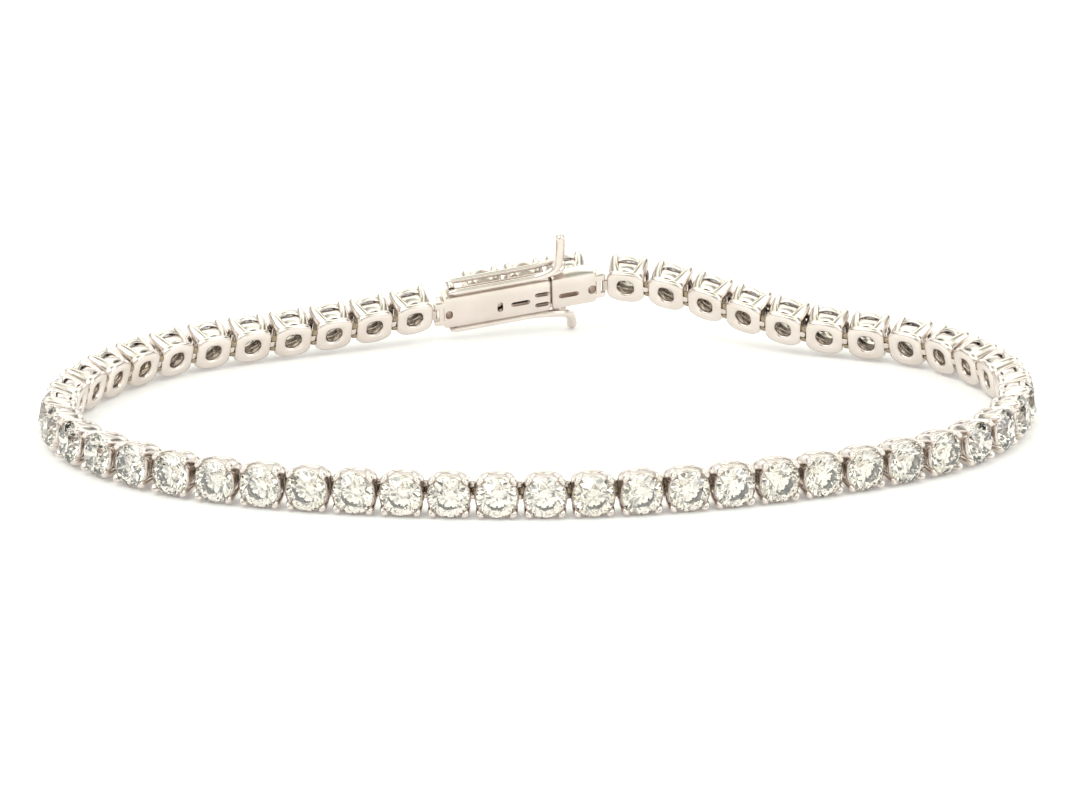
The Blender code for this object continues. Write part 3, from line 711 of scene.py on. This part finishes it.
def claws(sizes, foot_level, foot_radius):
    """Four claws, a quarter turn about r apart."""
    one = claw_shape(sizes, foot_level, foot_radius)
    return joined([one.moved(Matrix.Rotation(pi / 2 * k, 4, "Y")) for k in range(4)])


def corner_share(sides):
    """0 at the middle of each side and 1 at each claw: sin^2 2a."""
    return np.sin(2 * np.arange(sides) * 2 * pi / sides) ** 2


def rails(sizes):
    """Two rails round the stone's belly, wider and deeper at the claws, which leaves lens-shaped windows."""
    fill = corner_share(RAIL_SIDES)
    deep = sizes.corner_fill * fill
    parts = []
    for inner, inner_gain, outer, outer_gain, low, low_share, high, high_share in RAILS:
        radii = inner + inner_gain * fill, outer + outer_gain * fill
        levels = low + low_share * deep, high + high_share * deep
        parts.append(ring(*radii, *levels, RAIL_SIDES, RAIL_STEPS, RAIL_ROUNDNESS))
    return joined(parts)


def base_ring(sizes):
    """Base of a link: a soft-edged ring between the culet's hole and a rounded outline, deeper at the claws.

    The outline dips at the hinges by exp(-(sin a / spread)^4), which leaves room for the next link's lugs.
    """
    angle = np.arange(RING_SIDES) * 2 * pi / RING_SIDES
    outline = rounded_outline(angle, sizes.ring_half_length, sizes.ring_half_height, 3)
    outline = outline - HINGE_DIP * np.exp(-(np.sin(angle) / HINGE_DIP_SPREAD) ** 4)
    depth = sizes.ring_depth + sizes.corner_fill * corner_share(RING_SIDES)
    return ring(sizes.hole_radius, outline, RING_START, depth, RING_SIDES, 16, 3.6)


def lug(middle, root, radius, half, edge):
    """Lug of a hinge: a round end at the pin's level, and straight sides back to the root."""
    first = -pi / 2 if middle > root else pi / 2
    angle = np.linspace(first, first + pi, 11)
    level = PIN_LEVEL + radius * np.sin(angle)
    round_end = np.column_stack([middle + radius * np.cos(angle), level])
    return pillow(np.vstack([round_end, [[root, level[-1]], [root, level[0]]]]), half, edge, 2, 9)


def knuckle(half):
    """Lug of a link, with its round end about the pin and its root in the ring."""
    return lug(0, LUG_ROOT, LUG_RADIUS, half, LUG_EDGE)


def link_metal(sizes):
    """Ring, two rails and four claws of one link."""
    return joined([base_ring(sizes), rails(sizes), claws(sizes, CLAW_FOOT_LEVEL, CLAW_FOOT_RADIUS)])


def hinge_pin(half):
    """Pin along h with domed ends."""
    straight = half - PIN_DOME
    rows = [(PIN_RADIUS / 2, -half), (PIN_RADIUS, -straight), (PIN_RADIUS, straight), (PIN_RADIUS / 2, half)]
    return turned(rows, 12).shifted(r=PIN_LEVEL)


def about_pin():
    """Half turn about the pin's own axis, which points a lug the other way along t."""
    return Matrix.Rotation(pi, 4, "Z") @ Matrix.Translation((0, -2 * PIN_LEVEL, 0))


def shaded_lug(shape):
    """The lug with painted shade: dark faces in the gap between the links, and light ones where it faces the
    wrist.
    """
    middles = [shape.points[faces].mean(axis=1)[:, 1] for faces in (shape.quads, shape.triangles)]
    wrist_side = np.concatenate(middles) < PIN_LEVEL - PIN_RADIUS
    # Painted shade: full in the gap between the links, slight on the wrist side
    shape.marks = np.where(wrist_side, LUG_SHADE, GAP_SHADE)
    return shape


def lug_parts(half_pitch):
    """Centre lug ahead with its pin, and the two outer lugs behind."""
    ahead = shaded_lug(joined([knuckle(CENTRE_LUG_HALF), hinge_pin(LINK_PIN_HALF)])).shifted(half_pitch)
    outer = knuckle(OUTER_LUG_HALF)
    behind = shaded_lug(joined([outer.shifted(h=side * OUTER_LUG_PLACE) for side in (-1, 1)]))
    behind = behind.moved(Matrix.Translation((-half_pitch, 0, 0)) @ about_pin())
    return ahead, behind


def end_eye(side, half_pitch):
    """Eye that joins a chain's end to the clasp's pin; side is 1 ahead, -1 behind."""
    one = knuckle(EYE_HALF_HEIGHT)
    # Painted shade over the whole eye, which dims its bright reflection where it sits in the fork
    one.marks[:] = EYE_SHADE
    if side < 0:
        one = one.moved(about_pin())
    return one.shifted(side * half_pitch)


def brilliant(table_share):
    """Round brilliant of 57 facets and a girdle of 16, about r.

    Rings of points: table 8, crown 8 half a step on, girdle 16 twice, pavilion 8 and the culet. A main
    facet is a plane, level = start + slope * radius * cos(angle from its middle), and so the crown and
    pavilion rings, an eighth of a half turn from the middles, lie at cos(pi / 8) of their radius.
    """
    girdle_top, girdle_low = GIRDLE_LEVEL + GIRDLE_HALF, GIRDLE_LEVEL - GIRDLE_HALF
    table_radius = STONE_RADIUS * table_share
    crown_radius = table_radius + (STONE_RADIUS - table_radius) * CROWN_SHARE
    crown_slope = (TABLE_LEVEL - girdle_top) / (STONE_RADIUS - table_radius)
    crown_level = TABLE_LEVEL - (crown_radius * cos(pi / 8) - table_radius) * crown_slope
    pavilion_radius = STONE_RADIUS * PAVILION_SHARE
    pavilion_level = CULET_LEVEL + (girdle_low - CULET_LEVEL) * PAVILION_SHARE * cos(pi / 8)

    def circle(count, radius, level, turn):
        angle = (np.arange(count) + turn) * 2 * pi / count
        return np.column_stack([radius * np.cos(angle), np.full(count, level), radius * np.sin(angle)])

    table = circle(8, table_radius, TABLE_LEVEL, 0.5)
    crown = circle(8, crown_radius, crown_level, 0)
    upper = circle(16, STONE_RADIUS, girdle_top, 0)
    lower = circle(16, STONE_RADIUS, girdle_low, 0)
    pavilion = circle(8, pavilion_radius, pavilion_level, 0.5)
    ends = [[0, CULET_LEVEL, 0], [0, TABLE_LEVEL, 0]]
    points = np.vstack([table, crown, upper, lower, pavilion, ends])
    k = np.arange(8)
    after, before = (k + 1) % 8, (k - 1) % 8
    crown_at, upper_at, lower_at, pavilion_at, culet, centre = 8, 16, 32, 48, 56, 57
    stars = np.column_stack([before, crown_at + k, k])
    kites = np.column_stack([k, crown_at + k, upper_at + 2 * k + 1, crown_at + after])
    upper_one = np.column_stack([crown_at + k, upper_at + 2 * k, upper_at + 2 * k + 1])
    upper_two = np.column_stack([crown_at + after, upper_at + 2 * k + 1, upper_at + (2 * k + 2) % 16])
    j = np.arange(16)
    band = np.column_stack([upper_at + j, lower_at + j, lower_at + (j + 1) % 16, upper_at + (j + 1) % 16])
    lower_one = np.column_stack([pavilion_at + k, lower_at + 2 * k + 1, lower_at + 2 * k])
    lower_two = np.column_stack([pavilion_at + before, lower_at + 2 * k, lower_at + (2 * k - 1) % 16])
    mains = np.column_stack([np.full(8, culet), pavilion_at + k, lower_at + 2 * k, pavilion_at + before])
    table_fan = np.column_stack([np.full(8, centre), before, k])
    triangles = np.vstack([stars, upper_one, upper_two, lower_one, lower_two, table_fan])
    # Each facet gets its own number for its painted dark reflection; the table's eight triangles share the
    # last
    marks = np.concatenate([np.arange(STONE_TONES - 1), np.full(8, STONE_TONES - 1)])
    return outward(Shape(points, np.vstack([kites, band, mains]), triangles, marks))


def set_stones(name, frames, rise, first):
    """Cut stones in the frames, each turned about r and tinted by its own random numbers.

    Every facet of a stone darkens its tint by a number of its own, apart from the table's eight triangles,
    which share one: painted dark reflections on random facets, standing in for the flashes a cut stone
    mirrors.
    """
    look = bpy.context.scene.bracelet_stones
    draws = np.random.default_rng(look.seed + first)
    shape = brilliant(look.table_share)
    turns = draws.uniform(0, pi / 4, len(frames))
    places = [place @ Matrix.Translation((0, rise, 0)) @ Matrix.Rotation(float(turn), 4, "Y")
              for place, turn in zip(frames, turns)]
    piece = new_piece(name, many(shape, places), cut_stone())
    warmth = draws.uniform(0, 1, (len(frames), 1)) ** WARMTH_POWER
    tone = np.array(look.clear_tint) * (1 - warmth) + np.array(look.warm_tint) * warmth
    # Painted dark reflections on random facets, standing in for the flashes that a brilliant mirrors
    painted_facet_shade = 1 - look.painted_facet_shade * draws.uniform(0, 1, (len(frames), STONE_TONES)) ** 2
    quads = len(shape.quads)
    facets = shape.marks.astype(int)
    shade = np.concatenate([painted_facet_shade[:, part].ravel() for part in (facets[:quads], facets[quads:])])
    counts = (quads, len(facets) - quads)
    stone = np.concatenate([np.repeat(np.arange(len(frames)), count) for count in counts])
    colours = tone[stone] * shade[:, None]
    mesh = piece.data
    corners = np.zeros(len(mesh.polygons), int)
    mesh.polygons.foreach_get("loop_total", corners)
    per_corner = np.repeat(colours, corners, axis=0)
    attribute = mesh.color_attributes.new("tint", "FLOAT_COLOR", "CORNER")
    attribute.data.foreach_set("color", np.column_stack([per_corner, np.ones(len(per_corner))]).ravel())
    return piece


# Clasp

def rounded_block(low, high, edge):
    """Block between two corners with soft edges: an outline in t and r, made a pillow along h."""
    middle = (np.array(low) + np.array(high)) / 2
    half = (np.array(high) - np.array(low)) / 2
    corner = np.linspace(0, pi / 2, 5)
    quarter = np.column_stack([np.cos(corner), np.sin(corner)]) * edge
    inner = half[:2] - edge
    outline = np.vstack([
        quarter * (1, 1) + inner * (1, 1), quarter[::-1] * (-1, 1) + inner * (-1, 1),
        quarter * (-1, -1) + inner * (-1, -1), quarter[::-1] * (1, -1) + inner * (1, -1),
    ])
    return pillow(outline, half[2], edge, 2, 11).shifted(*middle)


def slot_cutter(slot):
    """Long hole with round ends through the inner face: an outline in t and h, carried along r."""
    along, across, length, height = slot
    radius = min(length, height) / 2
    turn = np.linspace(-pi / 2, pi / 2, 9)
    straight = max(length, height) / 2 - radius
    right = np.column_stack([straight + radius * np.cos(turn), radius * np.sin(turn)])
    outline = np.vstack([right, -right])
    if height > length:
        outline = outline[:, ::-1] * (1, -1)
    depth = np.array([-1, 1]) * CUTTER_HALF_DEPTH
    points = np.stack([
        np.broadcast_to(outline[:, 0] + along, (2, len(outline))),
        np.broadcast_to(depth[:, None], (2, len(outline))),
        np.broadcast_to(outline[:, 1] + across, (2, len(outline))),
    ], -1)
    return grid(points)


def cut(piece, cutters, operation="DIFFERENCE"):
    """Takes the cutters' shapes from the piece, or adds them, and keeps only the result."""
    for number, cutter in enumerate(cutters):
        tool = new_piece(f"tool_{number}", cutter, piece.data.materials[0])
        step = piece.modifiers.new(f"cut_{number}", "BOOLEAN")
        step.operation = operation
        step.solver = "EXACT"
        step.object = tool
    seen = bpy.context.evaluated_depsgraph_get()
    mesh = bpy.data.meshes.new_from_object(piece.evaluated_get(seen))
    tools = [step.object for step in piece.modifiers]
    piece.modifiers.clear()
    old = piece.data
    piece.data = mesh
    bpy.data.meshes.remove(old)
    for tool in tools:
        bpy.data.objects.remove(tool)
    return piece


def fork(pin, inward):
    """Two ears with round ends and the pin between them; inward is 1 or -1 along t."""
    inner = EYE_HALF_HEIGHT + FORK_CLEARANCE
    middle = inner + EAR_THICKNESS / 2
    ear = lug(EAR_MIDDLE, CLASP_END + EAR_ROOT, EAR_RADIUS, EAR_THICKNESS / 2, EAR_EDGE)
    ears = [ear.shifted(h=side * middle) for side in (-1, 1)]
    low = (FORK_BLOCK_START, FORK_BLOCK_LOW, -middle)
    high = (CLASP_END + FORK_BLOCK_OVERLAP, CLASP_DEPTH - FORK_BLOCK_INSET, middle)
    back = rounded_block(low, high, LUG_EDGE)
    whole = joined(ears + [back, hinge_pin(middle)])
    if inward < 0:
        whole = whole.moved(Matrix.Diagonal((-1, 1, 1, 1)))
    return whole.shifted(pin)


def clasp_setting(sizes, place):
    """Claws, rails and a thin bearing ring that stand on the clasp under one stone."""
    low = CLASP_DEPTH - SETTING_RISE - BEARING_OVERLAP
    high = low + BEARING_DEPTH + sizes.corner_fill * corner_share(RAIL_SIDES)
    foot = ring(BEARING_INNER, BEARING_OUTER, low, high, RAIL_SIDES, RAIL_STEPS, 2.5)
    parts = joined([foot, rails(sizes), claws(sizes, low, CLASP_CLAW_FOOT_RADIUS)])
    return parts.shifted(place, SETTING_RISE)


def latch_feet():
    """Hinge tubes of the two latches and the feet that carry them."""
    parts = []
    for side in (-1, 1):
        heights = sorted((side * (CLASP_HALF_HEIGHT - BOX_WALL), side * LATCH_LEVEL))
        low = (LATCH_HINGE - FOOT_HALF_WIDTH, LATCH_DEPTH - FOOT_HALF_LENGTH, heights[0])
        high = (LATCH_HINGE + FOOT_HALF_WIDTH, LATCH_DEPTH + FOOT_HALF_LENGTH, heights[1])
        parts.append(rounded_block(low, high, FOOT_EDGE))
        wall = ring(TUBE_BORE, TUBE_RADIUS, -TUBE_HALF_LENGTH, TUBE_HALF_LENGTH, 24, 12, 4)
        parts.append(wall.shifted(LATCH_HINGE, LATCH_DEPTH, side * LATCH_LEVEL))
    return joined(parts)


def ball_stud(side):
    """Neck and ball that a latch's loop closes round, turned about h."""
    rise = np.linspace(-pi / 3, pi / 2, 10)[:-1]
    ball = [(STUD_RADIUS * cos(a), STUD_HEIGHT + STUD_RADIUS * sin(a)) for a in rise]
    rows = [(STUD_NECK_RADIUS, -BOX_WALL), (STUD_NECK_RADIUS, STUD_HEIGHT - STUD_RADIUS)] + ball
    rows.append((STUD_RADIUS * 0.08, STUD_HEIGHT + STUD_RADIUS))
    stud = turned(rows, 16).shifted(h=CLASP_HALF_HEIGHT)
    if side < 0:
        stud = stud.moved(Matrix.Diagonal((1, 1, -1, 1)))
    return stud.shifted(STUD_PLACE, LATCH_DEPTH)


def box_body(material):
    """Hollow box with its pierced inner face."""
    end = PARTING - PARTING_GAP / 2
    outer = rounded_block((CLASP_END, CLASP_START_LEVEL, -CLASP_HALF_HEIGHT),
                          (end, CLASP_DEPTH, CLASP_HALF_HEIGHT), CLASP_EDGE)
    piece = new_piece("clasp_case", outer, material)
    wide = CLASP_HALF_HEIGHT - BOX_WALL
    hollow = rounded_block((end - BOX_CAVITY_LENGTH, BOX_WALL, -wide),
                           (end + BOX_WALL, CLASP_DEPTH - BOX_WALL, wide), CAVITY_EDGE)
    cutters = [hollow] + [slot_cutter(slot) for slot in BOX_SLOTS]
    return cut(piece, cutters)


def tongue_body(material):
    """End block with its long slot, and the tongue that fills the box."""
    start = PARTING + PARTING_GAP / 2
    outer = rounded_block((start, CLASP_START_LEVEL, -CLASP_HALF_HEIGHT),
                          (CLASP_LENGTH - CLASP_END, CLASP_DEPTH, CLASP_HALF_HEIGHT), CLASP_EDGE)
    piece = new_piece("clasp_end", outer, material)
    cut(piece, [slot_cutter(slot) for slot in TONGUE_SLOTS])
    wide = CLASP_HALF_HEIGHT - BOX_WALL - TONGUE_CLEARANCE
    inset = BOX_WALL + TONGUE_CLEARANCE
    tongue = rounded_block((start - TONGUE_LENGTH, inset, -wide),
                           (start + TONGUE_OVERLAP, CLASP_DEPTH - inset, wide), CAVITY_EDGE)
    return cut(piece, [tongue], "UNION")


def add_parts(piece, shapes, place, smooth_angle):
    """Joins loose shapes to a piece made in the clasp's frame, and moves all of it to the clasp."""
    mesh = piece.data
    points = np.zeros(len(mesh.vertices) * 3)
    mesh.vertices.foreach_get("co", points)
    faces = [list(polygon.vertices) for polygon in mesh.polygons]
    extra = joined(shapes)
    start = len(points) // 3
    everything = Shape(np.vstack([points.reshape(-1, 3), extra.points])).moved(place)
    faces += (extra.quads + start).tolist() + (extra.triangles + start).tolist()
    whole = bpy.data.meshes.new(piece.name)
    whole.from_pydata(everything.points.tolist(), [], faces)
    whole.materials.append(mesh.materials[0])
    whole.shade_smooth()
    whole.set_sharp_from_angle(angle=smooth_angle)
    piece.data = whole
    bpy.data.meshes.remove(mesh)
    flats = piece.modifiers.new("flats_stay_flat", "WEIGHTED_NORMAL")
    flats.keep_sharp = True
    return piece


def latch_shape(side, tip_offset, tip_height):
    """Loop of wire on its hinge pin, a riser that sweeps up from its inner wire, and the round finger tip.

    The loop is two straight wires and a half circle, and lifts by NOSE_RISE * u^2 as u goes from 0 to 1 over
    its last part. The riser is a smooth curve whose radius swells into the tip.
    """
    half = LATCH_HALF_WIDTH - LATCH_WIRE
    nose = STUD_PLACE - LATCH_HINGE
    count = 21
    arc = np.linspace(-pi / 2, pi / 2, count)
    bend = np.column_stack([nose + half * np.cos(arc), half * np.sin(arc), np.zeros(count)])
    straight = np.linspace(-LATCH_TAIL, nose, count + 1)[:-1]
    front = np.column_stack([straight, np.full(count, -half), np.zeros(count)])
    back = np.column_stack([straight[::-1], np.full(count, half), np.zeros(count)])
    path = np.vstack([front, bend, back])
    lift_from = nose - NOSE_LIFT_LENGTH
    path[:, 2] = side * NOSE_RISE * np.clip((path[:, 0] - lift_from) / (nose + half - lift_from), 0, 1) ** 2
    ends = np.ones(len(path))
    ends[[0, -1]] = LATCH_END_SHARE
    loop = tube(path, LATCH_WIRE * ends, (0, 0, 1), 14)
    pin = turned([(LATCH_PIN_RADIUS, -half), (LATCH_PIN_RADIUS, half)], 14)
    pin = pin.moved(Matrix.Rotation(pi / 2, 4, "X"))
    tip = nose + half + tip_offset + LATCH_WIRE
    start = nose - RISER_LENGTH
    rise = [(start + (tip - start) * t, -half * r, side * tip_height * h) for t, r, h in RISER_SHARES]
    curve = smooth_path(rise, 6)
    swell = np.linspace(0, 1, len(curve)) ** 0.5
    riser = tube(curve, LATCH_WIRE + (TIP_RADIUS - LATCH_WIRE) * swell, (0, 1, 0), 18)
    angle = np.linspace(-pi / 2, pi / 2, 14)[1:-1]
    ball = turned([(TIP_RADIUS * cos(a), TIP_RADIUS * sin(a)) for a in angle], 18)
    whole = joined([loop, pin, riser, ball.shifted(tip, 0, side * tip_height)])
    return whole.shifted(LATCH_HINGE, LATCH_DEPTH, side * LATCH_LEVEL)


class BRACELET_OT_links(bpy.types.Operator):
    """Adds the metal of the fifty links"""

    bl_idname = "bracelet.links"
    bl_label = "Links"

    def execute(self, context):
        sizes = context.scene.bracelet_links
        links, _ = bracelet_frames()
        half = len(links) // 2
        gold = white_gold("link_gold", scratches=0.15, extra_roughness=0.0)
        body = link_metal(sizes)
        ahead, behind = lug_parts(PITCH / 2)
        right, left = links[:half], links[half:]
        for name, node, frames, with_ahead, with_behind, end_place, end_side in (
            ("links_right", "chain_right", right, right, right[1:], right[0], -1),
            ("links_left", "chain_left", left, left[:-1], left, left[-1], 1),
        ):
            end = end_eye(end_side, PITCH / 2).moved(end_place)
            metal = joined([many(body, frames), many(ahead, with_ahead), many(behind, with_behind), end])
            piece = new_piece(name, metal, gold, LINK_SMOOTH)
            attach(piece, "root")
            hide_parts(node)
        return {"FINISHED"}


class BRACELET_OT_stones(bpy.types.Operator):
    """Adds the cut stones of the links and the clasp"""

    bl_idname = "bracelet.stones"
    bl_label = "Stones"

    def execute(self, context):
        links, clasp = bracelet_frames()
        half = len(links) // 2
        settings = [clasp @ Matrix.Translation((place, 0, 0)) for place in STONE_PLACES]
        groups = (
            ("stones_right", "chain_right", links[:half], 0.0),
            ("stones_left", "chain_left", links[half:], 0.0),
            ("stones_box", "clasp_box", settings[:2], SETTING_RISE),
            ("stone_tongue", "clasp_tongue", settings[2:], SETTING_RISE),
        )
        for number, (name, node, frames, rise) in enumerate(groups):
            piece = set_stones(name, frames, rise, number)
            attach(piece, "root")
            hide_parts(node)
        return {"FINISHED"}


class BRACELET_OT_clasp(bpy.types.Operator):
    """Adds the clasp's box and tongue with their settings, forks and studs"""

    bl_idname = "bracelet.clasp"
    bl_label = "Clasp"

    def execute(self, context):
        sizes = context.scene.bracelet_links
        _, clasp = bracelet_frames()
        gold = white_gold("clasp_gold", scratches=0.25, extra_roughness=0.03)
        box = box_body(gold)
        parts = [clasp_setting(sizes, place) for place in STONE_PLACES[:2]] + [fork(0, 1), latch_feet()]
        add_parts(box, parts, clasp, CLASP_SMOOTH)
        tongue = tongue_body(gold)
        parts = [clasp_setting(sizes, STONE_PLACES[2]), fork(CLASP_LENGTH, -1), ball_stud(1), ball_stud(-1)]
        add_parts(tongue, parts, clasp, CLASP_SMOOTH)
        for piece, node in ((box, "clasp_box"), (tongue, "clasp_tongue")):
            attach(piece, "root")
            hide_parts(node)
        return {"FINISHED"}


class BRACELET_OT_latches(bpy.types.Operator):
    """Adds the two safety latches"""

    bl_idname = "bracelet.latches"
    bl_label = "Latches"

    def execute(self, context):
        _, clasp = bracelet_frames()
        gold = white_gold("latch_gold", scratches=0.1, extra_roughness=-0.02)
        for name, node, side, tip in (
            ("latch_wire_upper", "latch_upper", 1, UPPER_TIP),
            ("latch_wire_lower", "latch_lower", -1, LOWER_TIP),
        ):
            piece = new_piece(name, latch_shape(side, *tip).moved(clasp), gold, LATCH_SMOOTH)
            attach(piece, node)
            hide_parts(node)
        return {"FINISHED"}


class BRACELET_OT_stage(bpy.types.Operator):
    """Adds the floor, the lights and the camera"""

    bl_idname = "bracelet.stage"
    bl_label = "Stage"

    def execute(self, context):
        look = context.scene.bracelet_stage
        paper, _, _ = new_material("paper", Base_Color=(*look.floor, 1), Roughness=FLOOR_ROUGHNESS,
                                   Emission_Strength=FLOOR_GLOW)
        corners = np.array([(-1, -1, 0), (1, -1, 0), (1, 1, 0), (-1, 1, 0)]) * FLOOR_HALF
        floor = new_piece("floor", Shape(corners, [(0, 1, 2, 3)]), paper)
        context.scene.world = studio_world(look.sky)
        aim = Vector(look.aim)
        for name, place, size, power in LAMPS:
            lamp = bpy.data.lights.new(name, "AREA")
            lamp.size = size
            lamp.energy = power
            holder = bpy.data.objects.new(name, lamp)
            holder.location = place
            holder.rotation_euler = (aim - Vector(place)).to_track_quat("-Z", "Y").to_euler()
            context.scene.collection.objects.link(holder)
        camera = bpy.data.objects.new("camera", bpy.data.cameras.new("camera"))
        camera.data.lens = look.lens
        camera.data.clip_start = VIEW_NEAR
        camera.data.clip_end = VIEW_FAR
        camera.location = aim + look.distance * Vector((0, -cos(look.elevation), sin(look.elevation)))
        camera.rotation_euler = (radians(90) - look.elevation, 0, 0)
        context.scene.collection.objects.link(camera)
        context.scene.camera = camera
        context.scene.view_settings.view_transform = "Standard"
        return {"FINISHED"}


class BRACELET_PT_panel(bpy.types.Panel):
    """Lists the bracelet's parts and their sizes"""

    bl_idname = "BRACELET_PT_panel"
    bl_label = "Tennis Bracelet"
    bl_space_type = "VIEW_3D"
    bl_region_type = "UI"
    bl_category = "Bracelet"

    def draw(self, context):
        for group, operators in (
            ("bracelet_links", ("links", "clasp", "latches")),
            ("bracelet_stones", ("stones",)),
            ("bracelet_metal", ()),
            ("bracelet_stage", ("stage",)),
        ):
            box = self.layout.box()
            settings = getattr(context.scene, group)
            for name in settings.__annotations__:
                box.prop(settings, name)
            for operator in operators:
                box.operator(f"bracelet.{operator}")


SETTINGS = {
    "bracelet_links": LinkSizes,
    "bracelet_stones": StoneLook,
    "bracelet_metal": MetalLook,
    "bracelet_stage": StageLook,
}
CLASSES = (
    *SETTINGS.values(), BRACELET_OT_links, BRACELET_OT_stones, BRACELET_OT_clasp, BRACELET_OT_latches,
    BRACELET_OT_stage, BRACELET_PT_panel,
)


def register():
    """Makes the classes known, and gives every scene the settings."""
    for item in CLASSES:
        bpy.utils.register_class(item)
    for name, group in SETTINGS.items():
        setattr(bpy.types.Scene, name, PointerProperty(type=group))


def unregister():
    """Takes the settings and the classes away again."""
    for name in SETTINGS:
        delattr(bpy.types.Scene, name)
    for item in reversed(CLASSES):
        bpy.utils.unregister_class(item)


def main():
    """Builds every piece and the stage."""
    register()
    bpy.ops.bracelet.links()
    bpy.ops.bracelet.stones()
    bpy.ops.bracelet.clasp()
    bpy.ops.bracelet.latches()
    bpy.ops.bracelet.stage()


if __name__ == "__main__":
    main()
